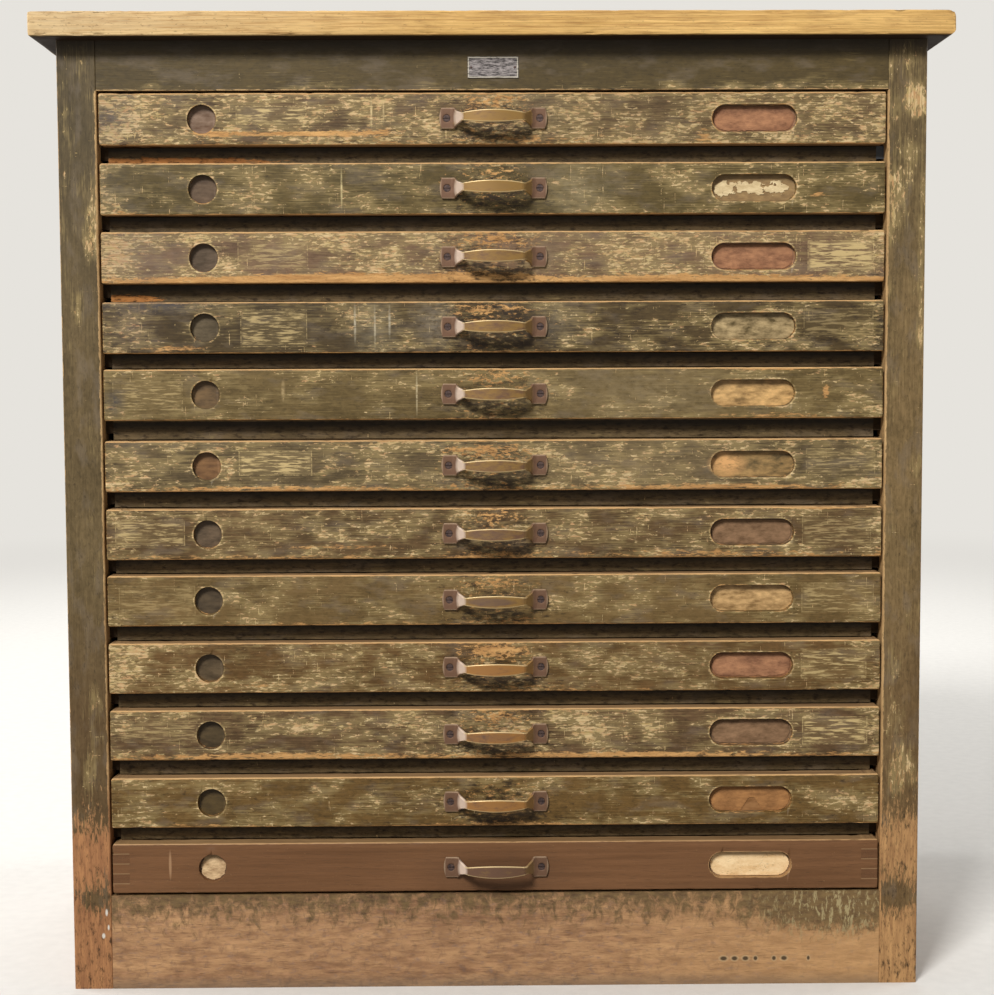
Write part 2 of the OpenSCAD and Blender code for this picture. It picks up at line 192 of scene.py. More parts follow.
def lamp(name, azimuth, elevation, distance, size, strength):
    """A square lamp that looks at the middle of the chest. Azimuth 0 is in front, 90 on the right."""
    data = bpy.data.lights.new(name, "AREA")
    data.shape = "SQUARE"
    data.size = size
    data.energy = strength * (pi * distance) ** 2
    made = bpy.data.objects.new(name, data)
    a, e = radians(azimuth), radians(elevation)
    back = Vector((sin(a) * cos(e), -cos(a) * cos(e), sin(e)))
    made.location = (cad_low + cad_high) / 2 + back * distance
    made.rotation_euler = back.to_track_quat("Z", "Y").to_euler()
    bpy.context.scene.collection.objects.link(made)


lamp("key", -24, 38, 8.5, 1.8, KEY)
lamp("left_fill", -100, 25, 5.0, 2.5, 0.55)
lamp("right_fill", 105, 25, 5.0, 2.5, 0.36)
lamp("back_fill", 180, 30, 5.0, 2.5, 0.50)

BACKDROP = "#e6e3dd"
world = bpy.data.worlds.new("studio")
world.use_nodes = True
bpy.context.scene.world = world
world.node_tree.nodes.clear()
add = partial(add_node, world.node_tree)
seen = add("LightPath")
shown = add("Math", seen.outputs["Is Camera Ray"], seen.outputs["Is Glossy Ray"], **MOST)
shown = add("Math", shown, seen.outputs["Is Transmission Ray"], **MOST)
backdrop = add("Mix", shown, [WORLD] * 3 + [1], BACKDROP, **RGB)
add("OutputWorld", add("Background", backdrop))

# %% [markdown]
# ## Materials start from the place
# A material starts from the place on the object in millimetres, because grain, chips and dents are
# known in millimetres. The grain runs along X in every pattern, and a material turns the place where
# a post stands upright. At the end its colour, roughness and height meet in one shader.

# %% Start and finish a material
UPRIGHT = (0, radians(90), 0)
FRONT_TO_BACK = (0, 0, radians(-90))
DULL = dict(Specular_IOR_Level=0.25)


def in_mm(add, turn=(0, 0, 0)):
    """The place on the object in millimetres, with the grain turned along X."""
    return add("Mapping", add("TexCoord").outputs["Object"], Rotation=turn, Scale=[1 / MM] * 3)


def start(name, turn=(0, 0, 0)):
    """A new material, the function that adds nodes to it, and the place in millimetres with the grain
    along X."""
    made = bpy.data.materials.new(name)
    made.use_nodes = True
    made.node_tree.nodes.clear()
    add = partial(add_node, made.node_tree)
    return made, add, in_mm(add, turn)


def finish(add, colour, roughness, height, **shader):
    """Joins a colour, a roughness and a height in millimetres in the shader. More names are sockets."""
    bump = add("Bump", Height=height, Distance=MM, Strength=1.0)
    principled = add("BsdfPrincipled", Base_Color=colour, Roughness=roughness, Normal=bump, **shader)
    add("OutputMaterial", principled)


# %% [markdown]
# ## Floor
# A plain pale floor catches the shadow. Far away it turns into the backdrop's own colour, so that no
# horizon cuts behind the chest.

# %% Floor
FLOOR_HALF = 14
floor_mesh = bmesh.new()
bmesh.ops.create_grid(floor_mesh, x_segments=2, y_segments=2, size=FLOOR_HALF)
floor_data = bpy.data.meshes.new("floor")
floor_mesh.to_mesh(floor_data)
floor_mesh.free()
floor = bpy.data.objects.new("floor", floor_data)
bpy.context.scene.collection.objects.link(floor)

floor_paint, add, place = start("matt_floor_paint")
grit = add("TexNoise", place, Scale=0.055, Detail=4.0)
rays = add("LightPath").outputs["Is Camera Ray"]
tint = add("Mix", rays, "#8c8882", "#dad7d1", **RGB)
shade = add("MapRange", grit, 0.3, 0.7, 0.97, 1.03)
tint = add("Mix", 1.0, tint, shade, blend_type="MULTIPLY", **RGB)
bump = add("Bump", Height=grit, Distance=MM, Strength=0.3)
matt = add("BsdfPrincipled", Base_Color=tint, Roughness=0.9, Normal=bump)
distance = add("VectorMath", place, operation="LENGTH").outputs["Value"]
far = add("MapRange", distance, 2200, 6000, **SOFT)
add("OutputMaterial", add("MixShader", far, matt, add("Emission", BACKDROP, 1.0)))
floor_data.materials.append(floor_paint)
floor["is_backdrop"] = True
print("floor:", 2 * FLOOR_HALF, "m across")

# %% [markdown]
# ## Patterns in real sizes
# Wood and old paint are made of stretched blots: pores, flecks and stains. One pattern draws them all,
# and its size is given along the grain, through the wood and across it.
# Wear happens round known lines and spots, so it is a distance or an ellipse turned into an amount,
# and a shade is laid over a colour where such an amount rises.

# %% Patterns
# Half size, in millimetres, of a patch that may go through the whole chest
DEEP = 1000


def blots(add, place, size, seed, detail=3.0, roughness=0.5, distortion=0.0):
    """Blots of about that size in millimetres, as a value round 0.5."""
    moved = [seed * 13.7, seed * 5.1, seed * 9.3]
    scaled = add("VectorMath", place, [1 / s for s in size], moved, **SCALED)
    return add("TexNoise", scaled, Scale=1.0, Detail=detail, Roughness=roughness, Distortion=distortion)


def patch(add, place, middle, half):
    """1 at a point, falling to 0 at the edge of an ellipse round it, in millimetres."""
    scaled = add("Mapping", place, middle, Scale=half, vector_type="TEXTURE")
    return add("TexGradient", scaled, gradient_type="SPHERICAL")


def on_face(add, place, x, z, half_x, half_z):
    """The same about a point on the chest's front, and as strong at any depth behind it."""
    return patch(add, place, (x, FRONT_Y, z), (half_x, DEEP, half_z))


def near(add, distance, reach, amount=1.0):
    """amount where a distance is nothing, falling to 0 where it is reach, on either side."""
    away = add("Math", distance, **SIZE)
    return add("MapRange", away, reach, reach * 0.15, 0.0, amount, **SOFT)


def lay(add, colour, over, field, low, high, amount=1.0, **more):
    """A colour with another laid over it where a field goes from low to high, up to an amount."""
    return add("Mix", add("MapRange", field, low, high, 0.0, amount, **more), colour, over, **RGB)


# %% [markdown]
# ## Bare wood
# Old pine and fir show long streaks of dense and soft growth, a few millimetres apart, with fine dark
# pores inside them. Handled wood goes brown and shines a little where it is rubbed.

# %% Wood


def wood(add, place, seed, dark, light, streak=(150, 5, 3.2), pore=(22, 1.5, 0.6)):
    """Colour and height of bare wood between two colours."""
    streaks = blots(add, place, streak, seed, 4.0, 0.62, 0.3)
    pores = blots(add, place, pore, seed + 1, 2.0, 0.5)
    clouds = blots(add, place, (220, 60, 42), seed + 2, 3.0)
    tone = add("Math", add("MapRange", streaks, 0.32, 0.68, 0.0, 0.64),
               add("MapRange", clouds, 0.3, 0.7, 0.0, 0.36))
    colour = add("Mix", tone, dark, light, **RGB)
    colour = lay(add, colour, "#4a3421", pores, 0.42, 0.30, 0.5)
    height = add("Math", add("MapRange", streaks, 0.3, 0.7, 0.0, 0.08),
                 add("MapRange", pores, 0.30, 0.45, -0.06, 0.0))
    return colour, height


# %% [markdown]
# ## Old green paint
# The chest was brushed olive green over a yellow undercoat. Hands, dust and sliding trays have chipped
# it: small ragged flecks show the undercoat, edges are rubbed through to the wood, cross scratches
# catch the light, and grease has darkened the places that are touched.
# So the paint is built in the order it was laid: wood, undercoat, green, then dirt.

# %% Paint
UNDERCOAT = "#b39a64"
UNDERCOAT_WARM = "#bd9062"
WORN_DARK = "#a0703f"
WORN_LIGHT = "#dcab6c"
GREASE = "#25190d"


def worn_paint(add, place, seed, wear, bare, dirt, shades, wood_shades=(WORN_DARK, WORN_LIGHT)):
    """Colour, roughness and height of the old paint, between two shades of green. wear brings more
    flecks, bare goes through to the wood, and dirt darkens: 0 is none and 1 is full."""
    # The green itself, cloudy, brushed and greyed
    clouds = blots(add, place, (110, 40, 34), seed, 3.0, 0.55)
    brush = blots(add, place, (34, 4, 1.5), seed + 1, 3.0, 0.65)
    mottle = blots(add, place, (9, 6, 5), seed + 6, 3.0, 0.65, 0.6)
    tone = add("Math", add("MapRange", clouds, 0.36, 0.64, 0.0, 0.40),
               add("MapRange", brush, 0.36, 0.64, 0.0, 0.30))
    tone = add("Math", tone, add("MapRange", mottle, 0.38, 0.62, 0.0, 0.36))
    colour = add("Mix", tone, *shades, **RGB)
    greyed = blots(add, place, (44, 24, 18), seed + 9, 3.0, 0.6)
    colour = lay(add, colour, "#7d6f5f", greyed, 0.52, 0.66, 0.28)

    # Dark pits, then rubbed places, soft all over and in crisp flecks down to the undercoat
    fine = blots(add, place, (8.4, 4, 2.7), seed + 2, 4.0, 0.64, 0.4)
    colour = lay(add, colour, "#2b2313", fine, 0.42, 0.30, 0.5)
    groups = blots(add, place, (46, 26, 22), seed + 3, 3.0, 0.62)
    level = add("Math", groups, 0.66, fine, **SCALED)
    cross = blots(add, place, (1.7, 3, 24), seed + 10, 2.0, 0.6, 0.3)
    level = add("Math", add("MapRange", cross, 0.67, 0.75, 0.0, 0.24), level)
    level = add("Math", wear, 0.24, level, **SCALED)
    soft = add("Math", groups, 0.9, add("Math", brush, 0.6, **TIMES), **SCALED)
    soft = add("Math", wear, 0.24, soft, **SCALED)
    colour = lay(add, colour, "#9b8658", soft, 0.74, 1.02, 0.66, **SOFT)
    flecks = add("MapRange", level, 1.01, 1.10, 0.0, 0.92, **SOFT)
    coat = lay(add, UNDERCOAT, UNDERCOAT_WARM, mottle, 0.42, 0.60)
    coat = lay(add, coat, "#e2c797", brush, 0.42, 0.64, 0.85)
    colour = add("Mix", flecks, colour, coat, **RGB)

    # Bare wood with a ragged border
    ragged = blots(add, place, (13, 4, 2.8), seed + 4, 4.0, 0.7, 0.4)
    depth = add("Math", bare, add("Math", ragged, 1.6, -0.8, **SCALED))
    through = add("MapRange", depth, 0.42, 0.66, **SOFT)
    timber, _ = wood(add, place, seed + 5, *wood_shades, (40, 6, 4), (6, 1.5, 1.0))
    colour = add("Mix", through, colour, timber, **RGB)

    # Grease over everything
    smears = blots(add, place, (12, 7, 4.5), seed + 7, 4.0, 0.7)
    smears = add("Math", smears, 2.0, -1.0, **SCALED)
    colour = lay(add, colour, GREASE, add("Math", smears, dirt), 0.24, 0.70, 0.88, **SOFT)

    lost = add("Math", add("Math", flecks, 0.7, **TIMES), through, **MOST)
    roughness = add("MapRange", lost, 0.0, 1.0, 0.50, 0.70)
    film = add("MapRange", level, 1.0, 1.12, 0.22, 0.0)
    height = add("Math", film, add("MapRange", brush, 0.3, 0.7, 0.0, 0.08))
    return colour, roughness, height


print("paint: undercoat", UNDERCOAT, "and wood", WORN_LIGHT)

# %% [markdown]
# ## Where a drawer front wears
# A front wears in known places: its arrises, the rims of its two recesses, a band along the foot where
# trays and fingers rub, and round the pull. Each is a distance in millimetres.

# %% Distances on a front


def from_recess(add, place, i, x, half, radius):
    """Distance in millimetres from a recess of drawer i, whose straight part has a half length. A round
    recess has no straight part."""
    centre = (x, 0, MIDDLE[i])
    arm = add("VectorMath", add("VectorMath", place, centre, **LESS), (1, 0, 1), **TIMES)
    arm = add("VectorMath", add("VectorMath", arm, **SIZE), (half, 0, 0), **LESS)
    arm = add("VectorMath", arm, (0, 0, 0), **MOST)
    length = add("VectorMath", arm, operation="LENGTH").outputs["Value"]
    return add("Math", length, radius, **LESS)


def front_fields(add, place, i):
    """Distances in millimetres on the front of drawer i: above its foot, below its top, from its ends,
    from the round recess and from the label recess, and how deep a point lies behind the face."""
    part = add("SeparateXYZ", place).outputs
    foot = add("Math", part["Z"], UNDERSIDE[i], **LESS)
    head = add("Math", DRAWER_H, foot, **LESS)
    end = add("Math", DRAWER_HALF, add("Math", part["X"], **SIZE), **LESS)
    depth = add("Math", part["Y"], FRONT_Y, **LESS)
    hole = from_recess(add, place, i, ROUND_X, 0, ROUND_R)
    slot = from_recess(add, place, i, LABEL_X, LABEL_HALF, LABEL_R)
    return foot, head, end, hole, slot, depth


# %% [markdown]
# ## Ghosts of old stencils
# Cards and stencils once marked the contents. What is left is a faint rubbed box with scuffs along the
# grain, which says nothing any more. One pattern of blots gives the scuffs and another breaks the lines.

# %% Ghosts


def ghost(add, place, i, middle, half, seed, filled):
    """Faint box about a point on the front of drawer i, with scuffs inside, and more in a filled one."""
    centre = (middle[0], FRONT_Y, UNDERSIDE[i] + middle[1])
    away = add("VectorMath", add("VectorMath", place, centre, **LESS), **SIZE)
    part = add("SeparateXYZ", add("VectorMath", away, (half[0], DEEP, half[1]), **LESS)).outputs
    outside = add("Math", part["X"], part["Z"], **MOST)
    broken = add("MapRange", blots(add, place, (10, 4, 4), seed, 4.0, 0.8), 0.43, 0.55)
    line = add("Math", near(add, outside, 1.0, 0.6), broken, **TIMES)
    least = 0.44 if filled else 0.50
    scuffs = blots(add, place, (20, 5, 2.3), seed + 0.4, 4.0, 0.6, 0.2)
    scuffs = add("MapRange", scuffs, least, least + 0.09, 0.0, 0.8)
    scuffs = add("Math", add("MapRange", outside, 0.0, -4.0), scuffs, **TIMES)
    rubbed = add("MapRange", outside, 0.0, -2.0, 0.0, 0.1)
    return add("Math", add("Math", line, scuffs, **MOST), rubbed)


# %% [markdown]
# ## Twelve fronts, twelve histories
# Each front has its own two greens, its own wear and its own lists of marks. A mark is a middle and a
# half size in millimetres, with x from the middle of the drawer and z above its foot, and an amount:
# how far a place is rubbed through, how strong a ghost is, or how much of its tint a haze brings.
# The pale hazes just right of the pulls of the top two drawers are a painted sheen.
# A ghost with a negative amount is filled. The recess colours are those of old card, wood or paint.

# %% Table of fronts
OLD_CARD = ("#7d5a45", "#a67a58")
DULL_PAINT = ("#534426", "#c2a87a")
YELLOW_WOOD = ("#7d5f36", "#e6b878")
MAUVE_CARD = ("#66503a", "#8f7052")
FRONTS = {
    1: dict(paint=("#41311c", "#6a5237"), wear=0.75, foot=0.30, dirt=0.12, round=("#5f4632", "#8c7460"),
            label=OLD_CARD,
            rubbed=[(-230, 13, 150, 6, 0.9), (-130, 16, 80, 18, 0.35), (-320, 14, 40, 16, 0.45),
                    (-255, 50, 150, 9, 0.2), (0, 50, 60, 12, 0.45), (40, 8, 110, 7, 0.3),
                    (180, 26, 150, 26, 0.1), (245, 14, 22, 26, 0.5)],
            ghosts=[(-255, 34, 40, 10, 1.0)],
            # The pale haze right of the pull is a painted sheen
            hazes_and_painted_sheen=[(-436, 30, 40, 40, 0.45, "#5b5554"), (60, 40, 40, 30, 0.2, "#a29472"),
                   (-140, 36, 1.6, 20, 1.0, "#d8bf8c"), (190, 30, 210, 60, 0.3, "#5c4a2e"),
                   (-126, 38, 1.4, 16, 0.8, "#d0b685")]),
    2: dict(paint=("#413619", "#63522e"), wear=0.42, foot=0.12, dirt=0.05, round=("#4d3b2b", "#6b5743"),
            label=("#7a6040", "#a5875a"),
            rubbed=[(-430, 4, 30, 6, 0.5), (-335, 14, 36, 7, 0.3), (0, 50, 60, 10, 0.3),
                    (375, 22, 28, 9, 0.5), (300, 6, 90, 5, 0.3)],
            ghosts=[],
            # The pale haze right of the pull is a painted sheen
            hazes_and_painted_sheen=[(-440, 30, 40, 50, 0.3, "#565049"), (95, 30, 60, 44, 0.3, "#a39678"),
                   (-175, 30, 1.5, 26, 1.0, "#d3c08c")]),
    3: dict(paint=("#56412d", "#7e624a"), wear=0.72, foot=0.70, dirt=0.04, round=("#463828", "#655442"),
            label=OLD_CARD,
            rubbed=[(-170, 8, 250, 12, 0.65), (0, 50, 80, 12, 0.55), (220, 8, 220, 9, 0.40),
                    (-130, 30, 110, 22, 0.25), (0, 8, 70, 10, 0.45), (150, 34, 90, 26, 0.25)],
            ghosts=[(-255, 32, 40, 15, 0.55), (402, 30, 38, 17, -1.0)],
            hazes_and_painted_sheen=[(-410, 34, 60, 44, 0.45, "#75665a"), (60, 34, 34, 30, 0.35, "#7b6b58")]),
    4: dict(paint=("#322511", "#564528"), wear=0.42, foot=0.25, dirt=0.20, round=("#4b3f2c", "#6f6048"),
            label=DULL_PAINT,
            rubbed=[(-370, 7, 70, 7, 0.5), (-10, 50, 80, 9, 0.6), (120, 34, 60, 16, 0.1),
                    (260, 8, 120, 6, 0.2)],
            ghosts=[(-255, 29, 38, 21, 0.9), (400, 33, 40, 16, 0.35)],
            hazes_and_painted_sheen=[(-250, 30, 170, 60, 0.3, "#453a26"), (-390, 56, 90, 14, 0.75, "#423f42"),
                   (-420, 30, 40, 44, 0.4, "#6d5d54"), (-70, 34, 34, 40, 0.35, "#a59884"),
                   (-140, 30, 36, 60, 0.25, "#a0957c"), (70, 34, 40, 34, 0.25, "#968a76"),
                   (-161, 34, 1.8, 26, 1.0, "#b7ab92"), (-138, 30, 1.6, 28, 1.0, "#b3a68b"),
                   (-121, 36, 2.0, 22, 0.9, "#b7ab92")]),
    5: dict(paint=("#4a3b1d", "#74603a"), wear=0.30, foot=0.22, dirt=0.05, round=("#51402b", "#7a6040"),
            label=YELLOW_WOOD,
            rubbed=[(-300, 50, 160, 8, 0.25), (0, 50, 60, 12, 0.45), (330, 4, 110, 5, 0.4),
                    (386, 32, 7, 16, 0.9), (322, 58, 60, 5, 0.9)],
            ghosts=[(-402, 29, 40, 16, 0.55)],
            hazes_and_painted_sheen=[(170, 32, 170, 50, 0.35, "#a08c68"), (-440, 22, 16, 22, 0.8, "#403c3b"),
                   (-90, 30, 1.5, 30, 1.0, "#b9a883"), (-245, 34, 3, 14, 0.8, "#c2a879")]),
    6: dict(paint=("#423620", "#69573b"), wear=0.60, foot=0.35, dirt=0.06, round=("#5d4129", "#8a6540"),
            label=("#4f4127", "#b08c58"),
            rubbed=[(-250, 4, 230, 5, 0.4), (250, 4, 220, 6, 0.4), (-10, 48, 75, 12, 0.55)],
            ghosts=[(-255, 33, 42, 14, 1.0), (404, 32, 40, 15, 0.5)],
            hazes_and_painted_sheen=[(170, 32, 190, 50, 0.25, "#a38c66"), (272, 30, 26, 17, 1.3, "#dca76c")]),
    7: dict(paint=("#423118", "#695032"), wear=0.50, foot=0.45, dirt=0.06, round=("#433627", "#6b5843"),
            label=MAUVE_CARD,
            rubbed=[(-180, 14, 190, 6, 0.5), (230, 9, 200, 6, 0.3), (0, 50, 55, 10, 0.5),
                    (378, 58, 72, 5, 0.9)],
            ghosts=[(-402, 32, 40, 15, 0.75), (400, 30, 40, 17, 0.5)]),
    8: dict(paint=("#52401f", "#785f39"), wear=0.36, foot=0.22, dirt=0.06, round=("#3b3022", "#594a36"),
            label=("#7f6139", "#d9b078"),
            rubbed=[(0, 50, 60, 9, 0.55), (-200, 3, 240, 4, 0.25), (20, 6, 60, 7, 0.3)],
            ghosts=[(-395, 30, 44, 17, 0.35), (402, 30, 42, 17, 0.55)]),
    9: dict(paint=("#473314", "#70522e"), wear=0.52, foot=0.30, dirt=0.06, round=("#413422", "#62513a"),
            label=("#7d5135", "#a37250"),
            rubbed=[(-280, 10, 80, 5, 0.5), (-230, 34, 70, 18, 0.15), (0, 50, 60, 12, 0.8),
                    (60, 6, 90, 7, 0.2)],
            ghosts=[(398, 31, 38, 17, 0.85)],
            hazes_and_painted_sheen=[(230, 30, 210, 60, 0.35, "#604a2a")]),
    10: dict(paint=("#43311a", "#6b5136"), wear=0.55, foot=0.50, dirt=0.08, round=("#382d1c", "#58482f"),
             label=MAUVE_CARD,
             rubbed=[(-250, 6, 220, 6, 0.35), (160, 5, 200, 6, 0.35), (0, 50, 60, 12, 0.5),
                     (120, 24, 80, 20, 0.15)],
             ghosts=[(-395, 34, 44, 12, 0.45), (400, 31, 38, 16, 1.0)]),
    11: dict(paint=("#4e3a19", "#775a30"), wear=0.36, foot=0.20, dirt=0.12, round=("#3f321e", "#584729"),
             label=("#7d5530", "#a1754a"),
             rubbed=[(20, 2, 180, 4, 0.4), (-330, 3, 120, 4, 0.3)],
             ghosts=[]),
}
print("rubbed patches:", sum(len(f["rubbed"]) for f in FRONTS.values()))

# %% [markdown]
# ## Finish of a painted drawer
# The same finish serves the front and the tray behind it, because the sides' fingers come through to
# the face and were painted with it. A millimetre behind the face the paint stops and raw wood begins.

# %% Painted drawers
RAW_DARK = "#74573a"
RAW_LIGHT = "#a8865c"


def tray_wood(add, place, seed):
    """Raw wood of a tray: the sides' grain runs from front to back, the rest from side to side."""
    across, _ = wood(add, place, seed, RAW_DARK, RAW_LIGHT)
    turned = add("Mapping", place, Rotation=FRONT_TO_BACK)
    along, _ = wood(add, turned, seed + 3, RAW_DARK, RAW_LIGHT)
    part = add("SeparateXYZ", place).outputs
    side = add("Math", add("Math", part["X"], **SIZE), DRAWER_HALF - FINGER_L - 0.5, operation="GREATER_THAN")
    return add("Mix", side, across, along, **RGB)


def dust_and_painted_shade_at_top(add, place, colour):
    """Dust and grease, with painted shade, along the top of the recesses, in any drawer."""
    above = add("Math", add("SeparateXYZ", place).outputs["Z"], UNDERSIDE[12], **LESS)
    above = add("Math", above, PITCH, operation="MODULO")
    # Painted shade with some dust: darker towards the top of each recess, under its rim
    return lay(add, colour, "#2b1e14", above, DRAWER_H / 2 + 5, DRAWER_H / 2 + 16, 0.55)


def recesses(add, place, seed, colour, hole, slot, look):
    """Colours of the floors and walls of the two recesses over a colour."""
    stain = add("MapRange", blots(add, place, (16, 7, 7), seed + 8, 5.0, 0.62), 0.33, 0.67)
    for field, shades in ((hole, look["round"]), (slot, look["label"])):
        floor = dust_and_painted_shade_at_top(add, place, add("Mix", stain, *shades, **RGB))
        colour = lay(add, colour, floor, field, -0.2, -0.9)
    return colour


def finger_joint(add, foot, along):
    """Lines between the fingers of a corner joint, and 1 on every second finger, within a finger's
    length of the corner."""
    row = add("Math", foot, DRAWER_H / FINGERS, operation="DIVIDE")
    zone = add("MapRange", along, FINGER_L + 0.4, FINGER_L - 0.4)
    inner = add("Math", add("Math", foot, DRAWER_H / 2, **LESS), **SIZE)
    zone = add("Math", zone, add("Math", inner, DRAWER_H / 2 - 0.5, operation="LESS_THAN"), **TIMES)
    line = near(add, add("Math", row, 0.5, operation="PINGPONG"), 0.06)
    odd = add("Math", add("Math", row, 2.0, operation="MODULO"), 1.0, operation="GREATER_THAN")
    return add("Math", line, zone, **TIMES), add("Math", odd, zone, **TIMES), zone


def tray_behind(add, place, seed, colour, fields):
    """Raw wood behind the painted face, except inside the recesses, with finger joints on the sides."""
    foot, _, end, hole, slot, depth = fields
    raw = tray_wood(add, place, seed + 20)
    corner = add("Math", depth, add("Math", TRAY_DEPTH, depth, **LESS), **LEAST)
    line, odd, zone = finger_joint(add, foot, corner)
    outside = add("Math", end, 0.6, operation="LESS_THAN")
    even = add("Math", add("Math", zone, odd, **LESS), outside, **TIMES)
    raw = add("Mix", add("Math", even, 0.55, **TIMES), raw, "#57402a", **RGB)
    raw = add("Mix", add("Math", line, outside, **TIMES), raw, "#38281a", **RGB)
    recess = add("Math", add("Math", hole, slot, **LEAST), 1.0, operation="LESS_THAN")
    behind = add("Math", add("MapRange", depth, 1.0, 2.2), recess, use_clamp=True, **LESS)
    return add("Mix", behind, colour, raw, **RGB)


def rub(add, bare, *edges):
    """bare, or the wear along an edge where that is more. An edge is a distance, a reach, an amount."""
    for distance, reach, amount in edges:
        bare = add("Math", bare, near(add, distance, reach, amount), **MOST)
    return bare


def painted_drawer(i, look):
    """Material of drawer i."""
    made, add, place = start(f"brushed_oil_paint_on_pine_{i:02d}")
    seed = i * 3.3
    fields = front_fields(add, place, i)
    foot, head, end, hole, slot, _ = fields

    bare = near(add, foot, 13, look["foot"])
    bare = rub(add, bare, (foot, 2.4, 0.75), (head, 3.0, 0.95), (end, 2.2, 0.5), (hole, 1.7, 0.36),
               (slot, 1.9, 0.44))
    for x, z, half_x, half_z, amount in look["rubbed"]:
        spot = on_face(add, place, x, UNDERSIDE[i] + z, half_x, half_z)
        bare = add("Math", spot, amount, bare, **SCALED)

    wear = add("MapRange", near(add, end, 70), 0.0, 1.0, look["wear"] - 0.08, look["wear"] + 0.16)
    recess = add("Math", hole, slot, **LEAST)
    wear = add("Math", wear, near(add, recess, 3.0, 0.5))
    wear = add("Math", wear, add("MapRange", recess, 0.3, -0.5, 0.0, -4.0))
    for x, z, half_x, half_z, _ in look["ghosts"]:
        calm = on_face(add, place, x, UNDERSIDE[i] + z, half_x * 1.4, half_z * 1.9)
        wear = add("Math", calm, -0.75, wear, **SCALED)

    below = on_face(add, place, 8, MIDDLE[i] - 18, 90, 22)
    round_pull = on_face(add, place, 0, MIDDLE[i], 105, 44)
    picked = add("MapRange", blots(add, place, (7, 4, 3), seed + 11, 4.0, 0.7), 0.46, 0.62, 0.0, 0.95)
    bare = add("Math", add("Math", round_pull, picked, **TIMES), bare)
    dirt = add("Math", below, 0.27, near(add, end, 20, 0.16), **SCALED)
    dirt = add("Math", round_pull, 0.38, dirt, **SCALED)
    dirt = add("Math", dirt, look["dirt"])
    colour, roughness, height = worn_paint(add, place, seed, wear, bare, dirt, look["paint"])
    for n, (x, z, half_x, half_z, amount) in enumerate(look["ghosts"]):
        mark = ghost(add, place, i, (x, z), (half_x, half_z), seed + n, amount < 0)
        colour = add("Mix", add("Math", mark, abs(amount), **TIMES), colour, "#ccb27c", **RGB)
    # Painted highlight along the top arris of the front
    painted_highlight_on_head = near(add, head, 2.2, 0.55)
    colour = add("Mix", painted_highlight_on_head, colour, "#cfae7d", **RGB)
    colour = recesses(add, place, seed, colour, hole, slot, look)
    broken = add("MapRange", blots(add, place, (10, 7, 5), seed + 12, 4.0, 0.7), 0.36, 0.56, 0.35, 1.15)
    # Hazes tint the paint; the pale ones beside the top two pulls are a painted sheen
    for x, z, half_x, half_z, amount, tint in look.get("hazes_and_painted_sheen", []):
        haze_and_sheen = on_face(add, place, x, UNDERSIDE[i] + z, half_x, half_z)
        haze_and_sheen = add("Math", haze_and_sheen, add("Math", broken, amount, **TIMES), **TIMES)
        colour = add("Mix", haze_and_sheen, colour, tint, **RGB)
    colour = tray_behind(add, place, seed, colour, fields)
    finish(add, colour, roughness, height, **DULL)
    return made


def dress(material, *nodes):
    """Gives CAD nodes one material."""
    for node in nodes:
        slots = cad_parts[node].data.materials
        slots.clear()
        slots.append(material)


DRAWER_FINISH = {i: painted_drawer(i, look) for i, look in FRONTS.items()}
print("painted drawers:", len(DRAWER_FINISH))

# %% [markdown]
# ## The odd drawer
# The lowest drawer never had the green coat. It is stained red-brown and waxed, so its finger joints
# show: end grain drinks more stain than the face and turns darker.

# %% Stained drawer
STAIN_DARK = "#66452a"
STAIN_LIGHT = "#80593a"


def stained_drawer(i, look):
    """Material of the lowest drawer."""
    made, add, place = start("stained_and_waxed_beech")
    seed = 91.0
    fields = front_fields(add, place, i)
    foot, head, end, hole, slot, _ = fields
    colour, grain = wood(add, place, seed, STAIN_DARK, STAIN_LIGHT, (190, 5, 6), (16, 1.5, 0.6))
    line, odd, _ = finger_joint(add, foot, end)
    speckle = blots(add, place, (1.2, 1.2, 1.2), seed + 1, 3.0, 0.6)
    end_grain = lay(add, "#49301f", "#6a482f", speckle, 0.35, 0.65)
    colour = add("Mix", add("Math", odd, 0.45, **TIMES), colour, end_grain, **RGB)
    colour = add("Mix", add("Math", line, 0.7, **TIMES), colour, "#a98a63", **RGB)

    bare = near(add, foot, 1.6, 0.6)
    bare = rub(add, bare, (head, 2.4, 1.0), (end, 1.6, 0.5), (hole, 1.6, 0.4), (slot, 1.8, 0.7))
    ragged = blots(add, place, (12, 4, 2), seed + 2, 5.0, 0.65)
    bare = add("Math", bare, add("Math", ragged, 1.2, -0.6, **SCALED))
    colour = lay(add, colour, "#ad875b", bare, 0.45, 0.75, **SOFT)
    specks = blots(add, place, (3, 3, 1.5), seed + 3, 4.0, 0.6)
    colour = lay(add, colour, "#a58258", specks, 0.68, 0.74, 0.6)

    scratch = on_face(add, place, -385, UNDERSIDE[i] + 34, 2, 20)
    colour = lay(add, colour, "#b08a66", scratch, 0.0, 0.5, 0.7)
    grease = on_face(add, place, 0, UNDERSIDE[i] + 22, 110, 34)
    colour = add("Mix", add("Math", grease, 0.6, **TIMES), colour, "#453022", **RGB)
    colour = recesses(add, place, seed, colour, hole, slot, look)
    colour = tray_behind(add, place, seed, colour, fields)
    roughness = add("MapRange", ragged, 0.3, 0.7, 0.42, 0.55)
    finish(add, colour, roughness, grain, **DULL)
    return made


DRAWER_FINISH[12] = stained_drawer(12, dict(round=("#5c4330", "#7a5b42"), label=("#7a5d42", "#9a7a58")))
for i in DRAWERS:
    dress(DRAWER_FINISH[i], drawer(i, "front"), drawer(i, "box"))
print("stained drawer: fingers", FINGER_L, "mm long")

# %% [markdown]
# ## Stiles, top rail and body
# The frame wears differently: its grain stands upright, the inner arrises are struck by the drawers,
# and near the floor boots and brooms have taken the paint off to the brown wood.

